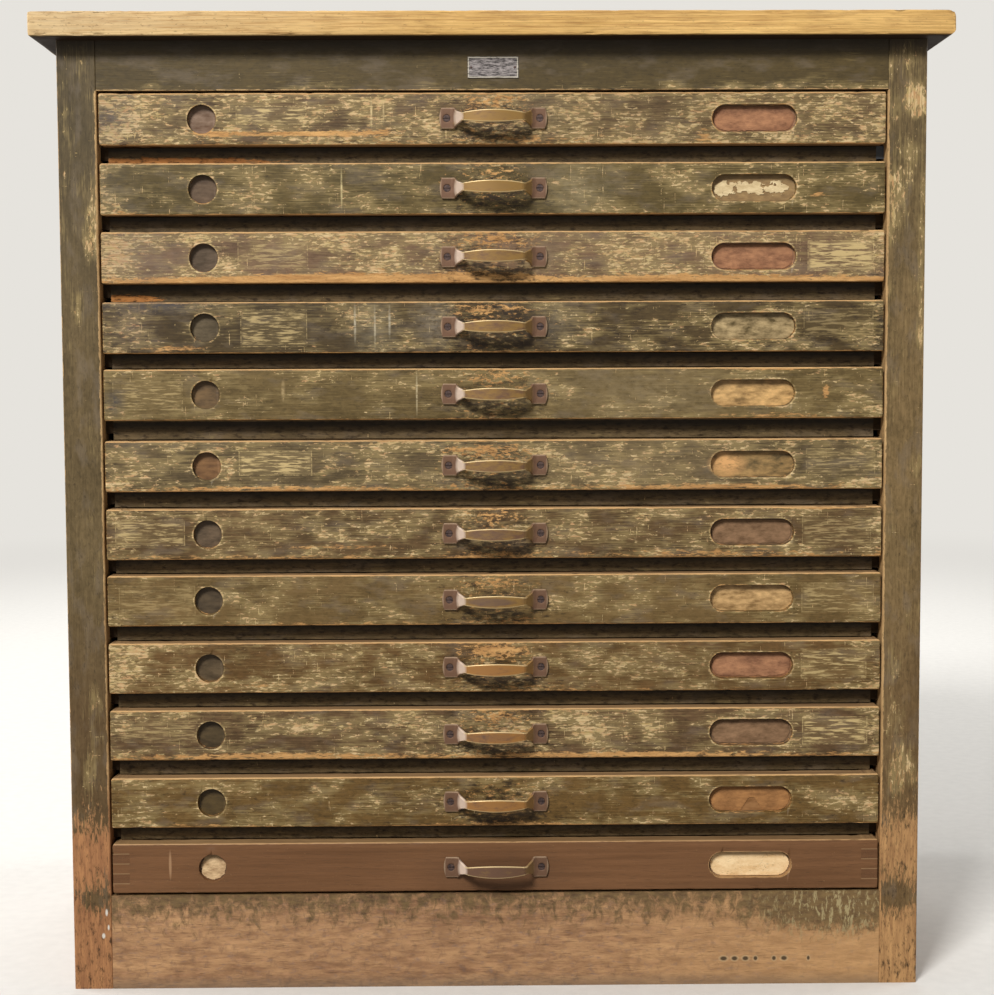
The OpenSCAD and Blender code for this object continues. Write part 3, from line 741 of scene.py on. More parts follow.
# %% Painted frame
# Rubbed places: x and z of the middle, half width, half height, amount
STILE_RUBS = [(-462, 905, 14, 110, 0.65), (-495, 930, 7, 130, 0.45), (-482, 800, 14, 34, 0.5),
              (462, 930, 20, 80, 0.35), (486, 1040, 16, 26, 0.9), (474, 915, 26, 50, 0.3),
              (490, 620, 14, 50, 0.4), (496, 800, 6, 160, 0.5), (-470, 330, 18, 60, 0.4),
              (470, 340, 18, 90, 0.6), (-476, 260, 30, 70, 0.4), (480, 260, 30, 60, 0.5)]
DROPS = [(-461, 92, 1.8, 5), (-459, 74, 1.4, 4), (-465, 64, 2.4, 4)]
# Dark and light wood: higher up, and near the floor on the left and on the right
STILE_WOODS = [("#8f6c43", "#7c5136", "#88613e"), ("#ceaa76", "#c08959", "#d0a069")]


def painted_frame(name, turn, seed, wear, shades, stiles=False, low_edge=None):
    """Paint of a part of the body, gone near the floor. stiles rubs the arrises beside the drawers,
    and low_edge is the height of a rail's rubbed lower arris."""
    made, add, place = start(name, turn)
    spot = in_mm(add)
    part = add("SeparateXYZ", spot).outputs
    across = add("Math", part["X"], **SIZE)
    tide = add("Math", blots(add, spot, (110, 90, 70), seed + 12, 4.0, 0.6), 180, part["Z"], **SCALED)
    gone = add("MapRange", tide, 355, 195, 0.0, 1.15)
    # Some paint is left on the stiles at the plinth's top
    kept = add("Math", on_face(add, spot, -STILE_IN - 16, 108, 60, 42),
               on_face(add, spot, STILE_IN + 16, 104, 70, 50), **MOST)
    bare = add("Math", add("Math", kept, -0.95, gone, **SCALED), 0.0, **MOST)
    dirt = add("MapRange", part["Z"], 320, 60, 0.04, 0.26)
    # The top and the right side have more flecks
    flecked = add("MapRange", part["Z"], 700, 980, wear - 0.25, wear + 0.15)
    right_side = add("Math", part["X"], 0.0, operation="GREATER_THAN")
    flecked = add("Math", right_side, 0.25, flecked, **SCALED)
    if stiles:
        opening = add("MapRange", part["Z"], RAIL_LOW + 1, RAIL_LOW - 1)
        corner = add("Math", near(add, add("Math", part["Y"], FRONT_Y, **LESS), 4),
                     near(add, add("Math", part["Y"], BODY_BACK, **LESS), 4), **MOST)
        for line, reach, amount, along in ((STILE_IN, 4.6, 0.78, opening), (STILE_OUT, 2.0, 0.6, corner)):
            arris = near(add, add("Math", across, line, **LESS), reach, amount)
            arris = add("Math", arris, along, **TIMES)
            bare = add("Math", bare, arris, **MOST)
        for x, z, half_x, half_z, amount in STILE_RUBS:
            worn = on_face(add, spot, x, z, half_x, half_z)
            bare = add("Math", worn, amount * 0.6, bare, **SCALED)
            flecked = add("Math", worn, amount * 1.5, flecked, **SCALED)
    if low_edge:
        bare = rub(add, bare, (add("Math", part["Z"], low_edge, **LESS), 2.4, 0.58))
        flecked = add("MapRange", part["Z"], low_edge + 16, low_edge + 3, wear - 0.6, wear + 0.05)
        chipped = on_face(add, spot, 330, low_edge + 6, 260, 14)
        flecked = add("Math", chipped, 0.45, flecked, **SCALED)
    shades = [add("Mix", right_side, left, right, **RGB) for left, right in zip(*shades)]
    # Smoke has darkened the top, and boots have reddened the foot
    for from_z, to_z, amount, tint in ((700, 1000, 0.5, "#3a3322"), (480, 330, 0.4, "#5c4128")):
        shades = [lay(add, shade, tint, part["Z"], from_z, to_z, amount) for shade in shades]
    low = add("MapRange", part["Z"], 280, 180)
    timber = [add("Mix", low, high, add("Mix", right_side, left, right, **RGB), **RGB)
              for high, left, right in STILE_WOODS]
    colour, roughness, height = worn_paint(add, place, seed, flecked, bare, dirt, shades, timber)
    # Painted shadow of the worktop: the paint goes near black just under it
    colour = lay(add, colour, "#1e1710", part["Z"], RAIL_HIGH - 26, RAIL_HIGH - 3, 0.8, **SOFT)
    for x, z, half_x, half_z in DROPS if stiles else ():
        drop = patch(add, spot, (x, FRONT_Y, z), (half_x, 4, half_z))
        colour = lay(add, colour, "#d9d2c4", drop, 0.0, 0.5)
    finish(add, colour, roughness, height, **DULL)
    return made


LEFT_GREEN = ("#483a20", "#725f3f")
RIGHT_GREEN = ("#554427", "#8a714b")
RAIL_GREEN = ("#453618", "#6e592e")
stile_paint = painted_frame("brushed_oil_paint_on_upright_pine", UPRIGHT, 41.0, -0.20,
                            (LEFT_GREEN, RIGHT_GREEN), True)
rail_paint = painted_frame("brushed_oil_paint_on_rail", (0, 0, 0), 47.0, 0.05, (RAIL_GREEN, RAIL_GREEN),
                           low_edge=RAIL_LOW)
panel_paint = painted_frame("brushed_oil_paint_on_panels", UPRIGHT, 53.0, 0.05, (LEFT_GREEN, LEFT_GREEN))
dress(stile_paint, "front_stiles", "rear_posts")
dress(rail_paint, "top_rail")
dress(panel_paint, "frame_rails", "side_panels")
print("stiles rubbed in", len(STILE_RUBS), "places")

# %% [markdown]
# ## Plinth
# The plinth has lost nearly all its paint. Warm brown wood shows, streaked along the grain, with dark
# remains of paint and grease along the top and a few pits and scars low on the right.

# %% Plinth
# Stains: size, where the noise begins and ends, strength, colour
PLINTH_STAINS = [((30, 12, 9), 0.50, 0.66, 0.5, "#74523a"), ((17, 9, 7), 0.54, 0.68, 0.5, "#bd8e68"),
                 ((11, 7, 5), 0.54, 0.68, 0.5, "#806a60"), ((9, 6, 15), 0.56, 0.68, 0.4, "#6b5142")]


def worn_plinth():
    """Material of the plinth rail."""
    made, add, place = start("stripped_and_oiled_pine")
    part = add("SeparateXYZ", place).outputs
    colour, grain = wood(add, place, 61.0, "#866044", "#c99c6e", (34, 9, 8), (14, 2, 1.0))
    for size, low, high, amount, tint in PLINTH_STAINS:
        cloud = blots(add, place, size, 65.0 + size[0], 4.0, 0.65)
        colour = lay(add, colour, tint, cloud, low, high, amount)
    colour = lay(add, colour, "#dcab6f", part["X"], 100, 440, 0.40)
    upper = add("MapRange", part["Z"], 40, PLINTH_TOP, 0.0, 0.88)
    right = on_face(add, place, 400, 92, 130, 52)
    ragged = blots(add, place, (11, 8, 16), 62.0, 5.0, 0.72, 0.5)
    level = add("Math", add("Math", ragged, 2.2, -1.2, **SCALED), upper)
    level = add("Math", right, 0.8, level, **SCALED)
    remains = add("MapRange", level, 0.25, 0.85, 0.0, 0.80, **SOFT)
    shade = add("MapRange", blots(add, place, (12, 6, 5), 63.0, 6.0, 0.7), 0.36, 0.64)
    colour = add("Mix", remains, colour, add("Mix", shade, "#3c3020", "#6f5d3a", **RGB), **RGB)
    chips = add("MapRange", blots(add, place, (4, 3, 12), 64.0, 4.0, 0.7, 0.5), 0.53, 0.61)
    chips = add("Math", chips, add("MapRange", right, 0.1, 0.7, 0.0, 0.8), **TIMES)
    colour = add("Mix", chips, colour, "#b5a376", **RGB)
    for x, half in ((270, 7), (283, 6), (296, 6), (308, 4), (330, 4), (342, 6), (371, 3)):
        pit = on_face(add, place, x, 31, half, 4.4)
        colour = lay(add, colour, "#c7ab82", pit, 0.0, 0.4, 0.7)
        colour = lay(add, colour, "#3a2a1a", pit, 0.25, 0.6, 0.9)
    # Painted shade: greyer and darker along the foot, where the plinth meets the floor
    colour = lay(add, colour, "#6b5f50", part["Z"], 16, 3, 0.45)
    roughness = add("MapRange", remains, 0.0, 1.0, 0.62, 0.5)
    height = add("Math", remains, 0.2, grain, **SCALED)
    finish(add, colour, roughness, height, **DULL)
    return made


dress(worn_plinth(), "plinth_rail")
print("plinth:", round(PLINTH_TOP), "mm high")

# %% [markdown]
# ## Inside pieces, back and plate
# The rails between the drawers are dark with dust and old paint, and a painted shadow blackens each one
# just under the drawer above. Runners are rubbed hardwood, painted near black with shade at the front,
# the back is raw board, and the small plate is black enamel with a bright pressed rim and nothing
# written on it.

# %% Hidden wood, back and plate


def back_boards():
    """Unpainted wood of the back, upright and smeared with dust."""
    made, add, place = start("raw_fir_boards", UPRIGHT)
    colour, height = wood(add, place, 77.0, "#6f4f33", "#9a7650")
    smears = blots(add, place, (60, 40, 40), 81.0, 5.0, 0.6)
    colour = lay(add, colour, "#3c3025", smears, 0.45, 0.75, 0.4)
    finish(add, colour, add("MapRange", smears, 0.3, 0.7, 0.62, 0.74), height)
    return made


def runner_wood():
    """Rubbed beech, darker than the rest and near black towards the front with painted shade, with a bare
    steel tip at the front of the top right runner.
    """
    made, add, place = start("rubbed_beech_runners", FRONT_TO_BACK)
    colour, height = wood(add, place, 73.0, "#33281b", "#5c4830")
    spot = in_mm(add)
    part = add("SeparateXYZ", spot).outputs
    # Painted shade: near black towards the front ends, which sit in the gaps beside the drawers
    colour = lay(add, colour, "#1d1711", part["Y"], FRONT_Y + 60, FRONT_Y + 8, 0.85)
    tip = patch(add, spot, (STILE_IN - 4, FRONT_Y, UNDERSIDE[1] - 12), (14, 60, 60))
    colour = lay(add, colour, "#50555c", tip, 0.0, 0.3)
    finish(add, colour, add("MapRange", tip, 0.0, 0.3, 0.8, 0.45), height, Specular_IOR_Level=0.1)
    return made


def gap_rail():
    """Dusty dark paint of the rails between the drawers, chipped to red wood over the second drawer, with a
    painted shadow under each drawer.
    """
    made, add, place = start("dusty_paint_and_painted_shade_on_cross_rails")
    chipped = on_face(add, place, -380, UNDERSIDE[1] - 17, 200, 8)
    chipped = add("Math", chipped, on_face(add, place, -425, UNDERSIDE[3] - 17, 60, 8), **MOST)
    bare = add("Math", chipped, 1.3, **TIMES)
    colour, roughness, height = worn_paint(add, place, 71.0, -0.3, bare, 0.30, ("#4a3e28", "#725f42"),
                                           ("#8c5a30", "#c98a4c"))
    # Painted shadow of the drawer above: near black just under it, fading lower down
    drop = add("Math", UNDERSIDE[1], add("SeparateXYZ", place).outputs["Z"], **LESS)
    drop = add("Math", drop, PITCH, operation="MODULO")
    colour = add("Mix", add("MapRange", drop, 4, 14, 0.85, 0.0), colour, "#120d08", **RGB)
    finish(add, colour, roughness, height, Specular_IOR_Level=0.15)
    return made


def plate_enamel():
    """Black enamel with a worn bright rim."""
    made, add, place = start("black_enamelled_tin")
    low, high = box_mm("nameplate")
    away = add("VectorMath", add("VectorMath", place, (low + high) / 2, **LESS), **SIZE)
    part = add("SeparateXYZ", add("VectorMath", (high - low) / 2, away, **LESS)).outputs
    inset = add("Math", part["X"], part["Z"], **LEAST)
    line = near(add, add("Math", inset, 0.9, **LESS), 0.9)
    scuffs = blots(add, place, (7, 2, 1.6), 75.0, 6.0, 0.7)
    rim = add("Math", line, add("MapRange", scuffs, 0.30, 0.48), **TIMES)
    base = lay(add, "#2c2625", "#a39a96", scuffs, 0.40, 0.62)
    colour = add("Mix", rim, base, "#c3bba8", **RGB)
    finish(add, colour, add("MapRange", scuffs, 0.3, 0.7, 0.42, 0.6),
           add("Math", scuffs, 0.05, **TIMES), Specular_IOR_Level=0.3)
    return made


dress(runner_wood(), "runners")
dress(gap_rail(), "cross_rails")
dress(back_boards(), "back_panels")
dress(plate_enamel(), "nameplate")
print("inside pieces dressed")

# %% [markdown]
# ## Brass
# The pulls are pressed brass that nobody polishes. Fingers keep the grip and every edge golden, while
# the pads, the necks and the middle of a face go brown. A painted reflection lights the left necks near
# white, and a painted highlight runs along the grip's edges. The screws are steel gone dark.

# %% Sizes of a pull
# Millimetres from its middle, from the drawer's face and from its centre line
PULL_HALF = 62
PAD_X = 45
SCREW_X = 53.5
GRIP_X = 35
PULL_REACH = 28
GRIP_BOW = 6
STRAP_T = 3
PAD_HALF_H = 12
GRIP_HALF_H = 7.2
NECK_HALF_H = 4.5
PAD_BULGE = 2.5
SCREW_HOLE_R = 4.15
FOLD_R = 4.2
EDGE_R = 0.8
# Where the pads are sawn besides the rows round the screw hole
PAD_ROWS = [-9.6, -6.8, 6.8, 9.6]
PAD_COLUMN = SCREW_X + 6.3

# %% Brass and steel
BRASS = "#92703a"
COPPERY = "#a5743c"
BRASS_RUBBED_AND_HIGHLIT = "#e8cd98"
BRASS_BROWN = "#6c4e39"


def old_brass(i, patina, worn):
    """Brass of one pull: patina goes from 0 for golden to 1 for brown, and worn is how far the middle
    of the grip has gone dark."""
    made, add, place = start(f"handled_brass_{i:02d}")
    clouds = blots(add, place, (14, 8, 6), 81.0 + i, 6.0, 0.65)
    wipes = blots(add, place, (12, 2, 0.8), 82.0 + i, 4.0, 0.6)
    part = add("SeparateXYZ", place).outputs
    reach = add("Math", FRONT_Y, part["Y"], **LESS)
    level = add("Math", clouds, add("MapRange", reach, 3.4, 7, 0.5, -0.1 + 0.4 * patina))
    level = add("Math", wipes, 0.3, level, **SCALED)
    brown = add("MapRange", level, 0.58, 0.95, **SOFT)
    colour = add("Mix", brown, COPPERY if 9 <= i <= 11 else BRASS, BRASS_BROWN, **RGB)
    up = add("Math", add("Math", part["Z"], MIDDLE[i], **LESS), **SIZE)
    face = on_face(add, place, -6, MIDDLE[i], 34, 6.0)
    colour = lay(add, colour, "#5c4a47", face, 0.12, 0.34, worn)
    # Painted reflection: the left neck near white, as if catching a lamp on the left; the right neck kept
    # golden
    for x, tint, amount in ((-40, "#f6dfcb", 0.9), (40, "#b0905c", 0.6)):
        neck = patch(add, place, (x, FRONT_Y - 14, MIDDLE[i]), (8, 16, 16))
        colour = lay(add, colour, tint, neck, 0.0, 0.5, amount)
    out = add("Math", part["X"], **SIZE)
    rim = add("Math", add("MapRange", out, PULL_HALF - 2.6, PULL_HALF - 0.8),
              add("MapRange", up, PAD_HALF_H - 1.8, PAD_HALF_H - 0.2), **MOST)
    colour = add("Mix", add("Math", rim, 0.55, **TIMES), colour, "#b39a7c", **RGB)
    # The grip's top and bottom edges: rubbed brass with a painted highlight on it
    along = add("Math", add("Math", out, GRIP_X, operation="DIVIDE"), 2.0, operation="POWER")
    edge = add("Math", along, NECK_HALF_H - GRIP_HALF_H, GRIP_HALF_H, **SCALED)
    rubbed = near(add, add("Math", up, edge, **LESS), 1.5, 0.8)
    rubbed = add("Math", rubbed, add("MapRange", reach, 16, 20), **TIMES)
    colour = add("Mix", rubbed, colour, BRASS_RUBBED_AND_HIGHLIT, **RGB)
    roughness = add("MapRange", brown, 0.0, 1.0, 0.42, 0.60)
    finish(add, colour, roughness, add("Math", clouds, 0.15, **TIMES), Metallic=0.35)
    return made


def dark_steel():
    """Steel screws gone brown."""
    made, add, place = start("blackened_steel")
    rust = blots(add, place, (2.5, 2.5, 2.5), 85.0, 4.0, 0.6)
    colour = lay(add, "#32282a", "#5e4a42", rust, 0.35, 0.65)
    roughness = add("MapRange", rust, 0.3, 0.7, 0.5, 0.65)
    finish(add, colour, roughness, add("Math", rust, 0.1, **TIMES), Metallic=0.5)
    return made


PATINA = {1: 0.1, 2: 0.1, 3: 0.4, 4: 0.4, 5: 0.5, 6: 0.5, 7: 0.55, 8: 0.3, 9: 0.1, 10: 0.4, 11: 0.2, 12: 1.0}
WORN_FACE = {7: 0.3, 8: 0.55, 10: 0.3}
brasses = {i: old_brass(i, PATINA[i], WORN_FACE.get(i, 0.1)) for i in DRAWERS}
dress(dark_steel(), "nameplate_pins", *[drawer(i, "screws") for i in DRAWERS])
print("screws dressed:", 2 * len(DRAWERS))

# %% [markdown]
# ## The pulls
# A pull is one brass strap: two flat pads, two flared necks and a grip that bows out and swells in the
# middle. It could be cut from the solid or swept as a curve. Here its line is drawn from above, pulled
# up into a ribbon, folded, pierced for the screws, trimmed to the outline seen from the front and then
# given its thickness, as the strap was once stamped from sheet. Eased edges catch the light.

# %% Pieces from a bmesh


def new_object(name, bm, material, body, replaced=(), angle=35):
    """Turns a bmesh in millimetres into a piece of the chest, smooth up to an angle."""
    bmesh.ops.scale(bm, vec=(MM, MM, MM), verts=bm.verts)
    data = bpy.data.meshes.new(name)
    bm.to_mesh(data)
    bm.free()
    data.shade_smooth()
    data.set_sharp_from_angle(angle=radians(angle))
    data.materials.append(material)
    piece = bpy.data.objects.new(name, data)
    bpy.context.scene.collection.objects.link(piece)
    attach(piece, body)
    if replaced:
        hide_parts(*replaced)
    return piece


def everything(bm):
    """All the points, edges and faces of a bmesh."""
    return bm.verts[:] + bm.edges[:] + bm.faces[:]


def saw(bm, axis, places):
    """Cuts a whole bmesh along planes across an axis, without taking anything away."""
    plane = Vector([axis == name for name in "XYZ"])
    for at in places:
        bmesh.ops.bisect_plane(bm, geom=everything(bm), plane_co=plane * at, plane_no=plane, dist=1e-4)


def thicken(bm, outward, thickness):
    """Turns a sheet to face outward and gives it its thickness."""
    bmesh.ops.recalc_face_normals(bm, faces=bm.faces)
    if sum(f.normal.dot(outward) * f.calc_area() for f in bm.faces) < 0:
        bmesh.ops.reverse_faces(bm, faces=bm.faces)
    bmesh.ops.solidify(bm, geom=bm.faces[:], thickness=thickness)


def ease(bm, angle, offset, segments):
    """Rounds the edges that are sharper than an angle in degrees."""
    bm.normal_update()
    sharp = [e for e in bm.edges if len(e.link_faces) == 2 and e.calc_face_angle() > radians(angle)]
    bmesh.ops.bevel(bm, geom=sharp, offset=offset, segments=segments, profile=0.5, affect="EDGES",
                    material=-1)


# %% Pull


def half_height(x):
    """Half the strap's height, seen from the front, at a distance from its middle."""
    if x < GRIP_X:
        return NECK_HALF_H + (GRIP_HALF_H - NECK_HALF_H) * (1 - (x / GRIP_X) ** 2)
    rise = min(1, (x - GRIP_X) / (PAD_X - GRIP_X))
    return NECK_HALF_H + (PAD_HALF_H - NECK_HALF_H) * rise ** 4


def shape_strap(v):
    """Moves a point of the flat ribbon to its place on the finished strap."""
    side, out = (1 if v.co.x > 0 else -1), abs(v.co.x)
    arm = Vector((out - SCREW_X, v.co.z))
    square = max(abs(arm.x), abs(arm.y))
    pad_half = PULL_HALF - SCREW_X
    if 1e-4 < square < pad_half:
        round_off = 1 - max(0, (square - SCREW_HOLE_R) / (pad_half - SCREW_HOLE_R))
        arm *= (square / arm.length) ** round_off
        v.co.x, v.co.z = side * (SCREW_X + arm.x), arm.y
    share = v.co.z / PAD_HALF_H
    v.co.z = share * half_height(out)
    if out > SCREW_X:
        v.co.x -= side * PAD_BULGE * share ** 2 * (out - SCREW_X) / pad_half


def pull(i):
    """The brass pull of drawer i, in place."""
    bm = bmesh.new()
    bow_r = (GRIP_X ** 2 + GRIP_BOW ** 2) / (2 * GRIP_BOW)
    middle = bm.verts.new((0, -PULL_REACH, -PAD_HALF_H))
    bmesh.ops.spin(bm, geom=[middle], cent=(0, bow_r - PULL_REACH, 0), axis=(0, 0, 1),
                   angle=asin(GRIP_X / bow_r), steps=14)
    end = max(bm.verts, key=lambda v: v.co.x)
    for x in (PAD_X, PULL_HALF):
        end = bmesh.ops.extrude_vert_indiv(bm, verts=[end])["verts"][0]
        end.co = (x, -STRAP_T, -PAD_HALF_H)
    ribbon = bmesh.ops.extrude_edge_only(bm, edges=bm.edges[:])["geom"]
    top = [g for g in ribbon if isinstance(g, bmesh.types.BMVert)]
    bmesh.ops.translate(bm, vec=(0, 0, 2 * PAD_HALF_H), verts=top)
    ease(bm, 25, FOLD_R, 6)
    rows = [SCREW_HOLE_R * n / 3 for n in range(-3, 4)]
    saw(bm, "Z", rows + PAD_ROWS)
    saw(bm, "X", [SCREW_X + row for row in rows] + [PAD_COLUMN])
    centres = {f: f.calc_center_median() for f in bm.faces}
    hole = [f for f, at in centres.items() if max(abs(at.x - SCREW_X), abs(at.z)) < SCREW_HOLE_R]
    bmesh.ops.delete(bm, geom=hole, context="FACES")
    bmesh.ops.mirror(bm, geom=everything(bm), matrix=Matrix.Identity(4), merge_dist=1e-4, axis="X")
    for v in bm.verts:
        shape_strap(v)
    thicken(bm, Vector((0, -1, 0)), STRAP_T)
    bmesh.ops.recalc_face_normals(bm, faces=bm.faces)
    ease(bm, 55, EDGE_R, 3)
    reach = [min(v.co[k] for v in bm.verts) for k in range(3)]
    bmesh.ops.translate(bm, vec=(0, FRONT_Y, MIDDLE[i]), verts=bm.verts)
    made = new_object(f"brass_pull_{i:02d}", bm, brasses[i], f"drawer_{i:02d}",
                      [drawer(i, "pull")], 40)
    return made, reach


pulls = [pull(i) for i in DRAWERS]
first, reach = pulls[0]
print("pulls:", len(pulls), "lowest corner", [round(r, 2) for r in reach], "faces", len(first.data.polygons))

# %% [markdown]
# ## Cards and paper in the recesses
# The label recesses once held cards, and some still do: whole, torn or with a notch. Card is a thin
# sheet cut to the recess, and torn paper is the same sheet with ragged pieces missing. A fine grid is
# cut to shape by taking faces away, then its edge is smoothed and it is given its thickness.

# %% Old card
CARD_T = 0.5
CARD_GAP = 0.3
CARD_WARP = 0.35
CARD_LIFT = 0.05


def aged_card(name, dark, light, mark="#6a4f38", marks=0.35):
    """Card or paper gone brown, with stains and faint rubbed rows that spell nothing."""
    made, add, place = start(name)
    stain = blots(add, place, (16, 8, 7), 101.0, 6.0, 0.65)
    fibres = blots(add, place, (3, 1, 0.7), 102.0, 3.0, 0.6)
    tone = add("Math", add("MapRange", stain, 0.34, 0.66, 0.0, 0.8),
               add("MapRange", fibres, 0.35, 0.65, 0.0, 0.2))
    colour = add("Mix", tone, dark, light, **RGB)
    rows = blots(add, place, (2.2, 2, 1.6), 103.0, 3.0, 0.7)
    broken = blots(add, place, (14, 4, 5), 104.0, 3.0, 0.6)
    faint = add("Math", add("MapRange", rows, 0.56, 0.64), add("MapRange", broken, 0.5, 0.62), **TIMES)
    colour = add("Mix", add("Math", faint, marks, **TIMES), colour, mark, **RGB)
    # Painted shade and dust along the top of the card, as on the recess floor
    colour = dust_and_painted_shade_at_top(add, place, colour)
    finish(add, colour, add("MapRange", stain, 0.3, 0.7, 0.75, 0.88),
           add("Math", fibres, 0.12, **TIMES), Specular_IOR_Level=0.3)
    return made


def sheet_in_recess(name, i, centre_x, half_x, radius, material, step=1.0, torn=0.0, seed=0.0, notch=None):
    """A thin sheet on the floor of a recess of drawer i: a stadium of a half length and a radius, with
    its margin torn by up to torn millimetres, and a notch at x and a width if given."""
    bm = bmesh.new()
    columns, rows = round(2 * (half_x + radius) / step), round(2 * radius / step)
    bmesh.ops.create_grid(bm, x_segments=columns, y_segments=rows, size=1)
    bmesh.ops.scale(bm, vec=(half_x + radius, radius, 1), verts=bm.verts)

    def spare(face):
        """True where a face lies outside the sheet."""
        at = face.calc_center_median()
        ragged = torn * (0.5 + noise.fractal(Vector((at.x / 7, at.y / 5, seed)), 0.7, 2.0, 4))
        outside = hypot(max(0, abs(at.x) - half_x), at.y) > radius - CARD_GAP - max(0, ragged)
        cut = notch and abs(at.x - notch[0]) < notch[1] * (0.4 - at.y / radius) and at.y < 0
        return outside or bool(cut)

    bmesh.ops.delete(bm, geom=[f for f in bm.faces if spare(f)], context="FACES")
    rim = [v for v in bm.verts if v.is_boundary]
    for _ in range(2):
        bmesh.ops.smooth_vert(bm, verts=rim, factor=0.5, use_axis_x=True, use_axis_y=True)
    for v in bm.verts:
        v.co.z = CARD_WARP * (0.5 + noise.noise(Vector((v.co.x / 15, v.co.y / 11, seed + 5))))
    thicken(bm, Vector((0, 0, 1)), CARD_T)
    bmesh.ops.rotate(bm, cent=(0, 0, 0), matrix=Matrix.Rotation(radians(90), 3, "X"), verts=bm.verts)
    back = FRONT_Y + RECESS_DEEP - CARD_LIFT - max(v.co.y for v in bm.verts)
    bmesh.ops.translate(bm, vec=(centre_x, back, MIDDLE[i]), verts=bm.verts)
    return new_object(name, bm, material, f"drawer_{i:02d}", angle=60)


red_card = aged_card("red_brown_pulp_card", "#734c35", "#b9855f")
mauve_card = aged_card("mauve_pulp_card", "#62482f", "#9d7a5a")
orange_card = aged_card("orange_kraft_card", "#7d5530", "#b98450", marks=0.15)
cream_card = aged_card("cream_index_card", "#e3ba83", "#ffe1b0", marks=0.7)
torn_paper = aged_card("torn_cream_paper", "#bfa477", "#efd9ab", marks=0.2)
# Drawer: card, how far its margin is torn, and its notch
CARDS = {1: (red_card, 0.8, None), 3: (red_card, 0.5, None), 7: (mauve_card, 0.8, None),
         9: (red_card, 1.5, None), 10: (mauve_card, 1.2, None), 11: (orange_card, 0.0, (2, 9)),
         12: (cream_card, 0.0, None)}
cards = [sheet_in_recess(f"label_card_{i:02d}", i, LABEL_X, LABEL_HALF - 0.8, LABEL_R - 0.8, card, torn=torn,
                         seed=i, notch=notch) for i, (card, torn, notch) in CARDS.items()]
# Name, place along the recess, half length, radius, how far torn, seed
SCRAPS = [("a", -4, 11, 10.5, 6, 2.5), ("b", 26, 9, 9.5, 7, 7.1), ("c", -33, 5, 11, 6, 4.2)]
scraps = [sheet_in_recess(f"torn_scrap_02_{name}", 2, LABEL_X + x, half_x, radius, torn_paper, torn=torn,
                          seed=seed) for name, x, half_x, radius, torn, seed in SCRAPS]
disc_paper = aged_card("mottled_cream_paper", "#8a6440", "#f0cf9f", marks=0.3)
sheet_in_recess("paper_disc_12", 12, ROUND_X, 0, ROUND_R - 0.6, disc_paper, 0.8, 1.6, 12.3)
print("cards:", len(cards), "scraps:", len(scraps), "and a disc")

# %% [markdown]
# ## Worktop
# The worktop is thick raw pine, scrubbed pale. Its arrises wander by a fraction of a millimetre and are
# nicked in places, so a copy of the frame's board is sawn into slices and its edges are dented. The
# drawer fronts are treated the same way, because trays knock against them all day.

# %% Worn copies
ARRIS = 5


def worn_copy(node, step, dent, seed, bands=(), skip=lambda at: False):
    """A merged copy of a CAD node's mesh, in millimetres, sliced every step along X, with its arrises
    dented by up to dent. bands gives more planes along Y, and skip says where nothing is dented."""
    bm = bmesh.new()
    bm.from_mesh(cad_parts[node].data)
    bmesh.ops.remove_doubles(bm, verts=bm.verts, dist=1e-6)
    bmesh.ops.scale(bm, vec=(1 / MM, 1 / MM, 1 / MM), verts=bm.verts)
    low, high = box_mm(node)
    bmesh.ops.dissolve_limit(bm, angle_limit=radians(0.5), verts=bm.verts, edges=bm.edges)
    saw(bm, "Z", [low.z + ARRIS, high.z - ARRIS])
    saw(bm, "Y", [low.y + ARRIS, *bands])
    saw(bm, "X", [low.x + step * (n + 0.5) for n in range(int((high.x - low.x) / step))])
    bm.normal_update()
    for v in bm.verts:
        edges = sum(min(abs(v.co[k] - low[k]), abs(v.co[k] - high[k])) < 4 for k in range(3))
        if edges >= 2 and not skip(v.co):
            nick = max(0.0, noise.fractal(v.co / 9 + Vector((seed, 0, 0)), 0.6, 2.0, 4) - 0.28)
            v.co -= v.normal * dent * (nick + 0.4 * abs(noise.noise(v.co / 45))) * (edges - 1)
    return bm


# %% Pine
PINE_DARK = "#ac8142"
PINE_LIGHT = "#f1c67c"
GLUE_LINES = [-148, -12, 151]
BAND = 25
WORKTOP_LOW = box_mm("worktop")[0]


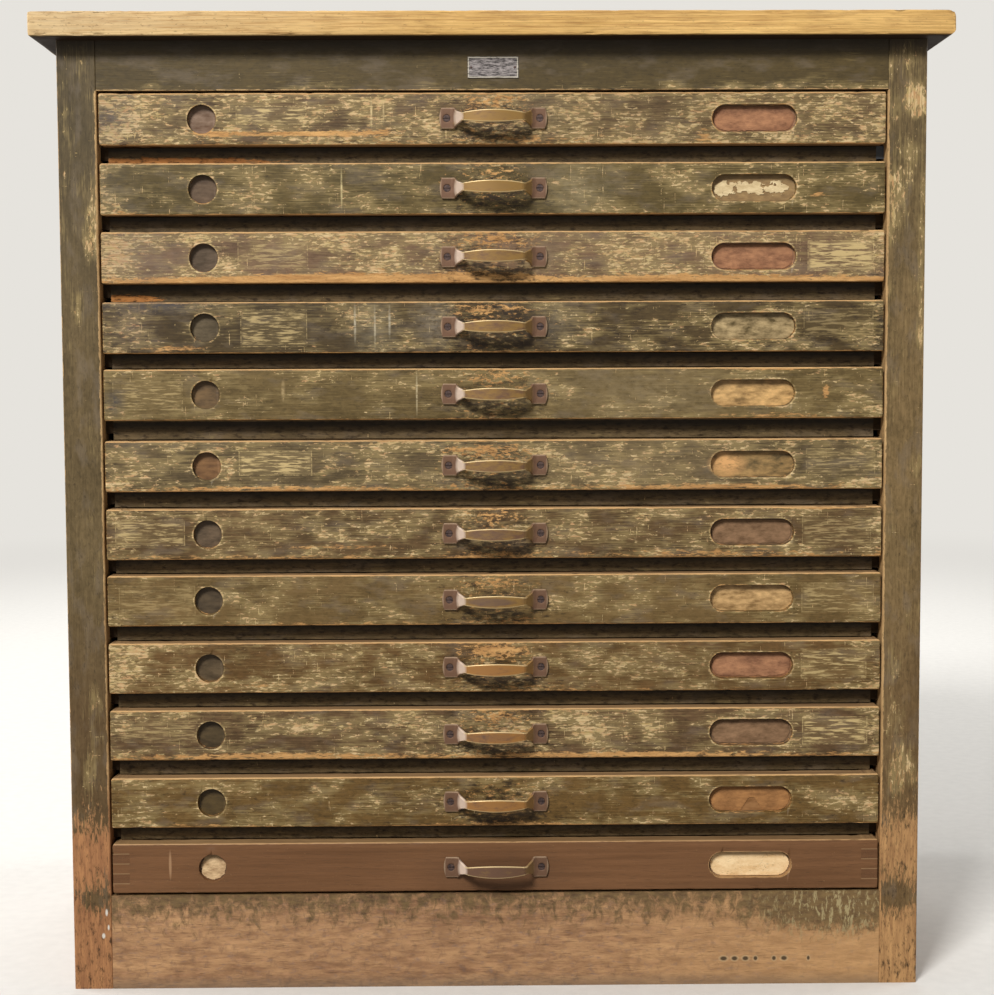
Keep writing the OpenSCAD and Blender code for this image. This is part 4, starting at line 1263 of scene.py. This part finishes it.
def scrubbed_pine():
    """Pale pine with fine streaks, grey-brown stains and dark specks, the glue lines of its four planks,
    and an underside darkened with painted shade."""
    made, add, place = start("scrubbed_pine")
    part = add("SeparateXYZ", place).outputs
    colour, grain = wood(add, place, 31.0, PINE_DARK, PINE_LIGHT, (260, 3.4, 1.9), (30, 1.6, 0.5))
    left = add("MapRange", part["X"], -60, -480, 0.0, 0.5)
    colour = add("Mix", left, colour, "#d2c09d", **RGB)
    streak = blots(add, place, (70, 5, 1.6), 36.0, 4.0, 0.65)
    colour = lay(add, colour, "#a5773f", streak, 0.50, 0.66, 0.68)
    stains = blots(add, place, (42, 30, 6), 33.0, 5.0, 0.7)
    colour = lay(add, colour, "#9a7245", stains, 0.50, 0.74, 0.6)
    specks = add("Math", left, 0.1, blots(add, place, (5, 4, 1.8), 34.0, 4.0, 0.6), **SCALED)
    colour = lay(add, colour, "#5f4428", specks, 0.64, 0.72, 0.5)
    for joint in GLUE_LINES:
        line = near(add, add("Math", part["Y"], joint, **LESS), 1.2, 0.55)
        colour = add("Mix", line, colour, "#7a5a33", **RGB)
    # Painted shade: the underside of the worktop goes near black
    colour = lay(add, colour, "#2e1d0e", part["Z"], WORKTOP_LOW.z + 1.6, WORKTOP_LOW.z + 0.3)
    finish(add, colour, add("MapRange", stains, 0.3, 0.7, 0.58, 0.7), grain, **DULL)
    return made


slab = worn_copy("worktop", 6, 2.2, 3.0, [WORKTOP_LOW.y + BAND * n for n in range(1, 25)])
worktop = new_object("worktop_board", slab, scrubbed_pine(), "cabinet", ["worktop"])
print("worktop:", len(worktop.data.polygons), "faces")

# %% Dented drawer fronts


def at_joint(at):
    """True at the ends of a front, where its fingers meet the tray's and nothing may move."""
    return abs(at.x) > DRAWER_HALF - FINGER_L - 1


for i in DRAWERS:
    node = drawer(i, "front")
    front = worn_copy(node, 5, 1.0, 10.0 * i, skip=at_joint)
    new_object(f"worn_front_{i:02d}", front, DRAWER_FINISH[i], f"drawer_{i:02d}", [node])
print("fronts dented")

# %% Sizes and end
new_low, new_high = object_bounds()
grown = [*(cad_low - new_low), *(new_high - cad_high)]
print("grown by, in mm:", [round(v / MM, 2) for v in grown])
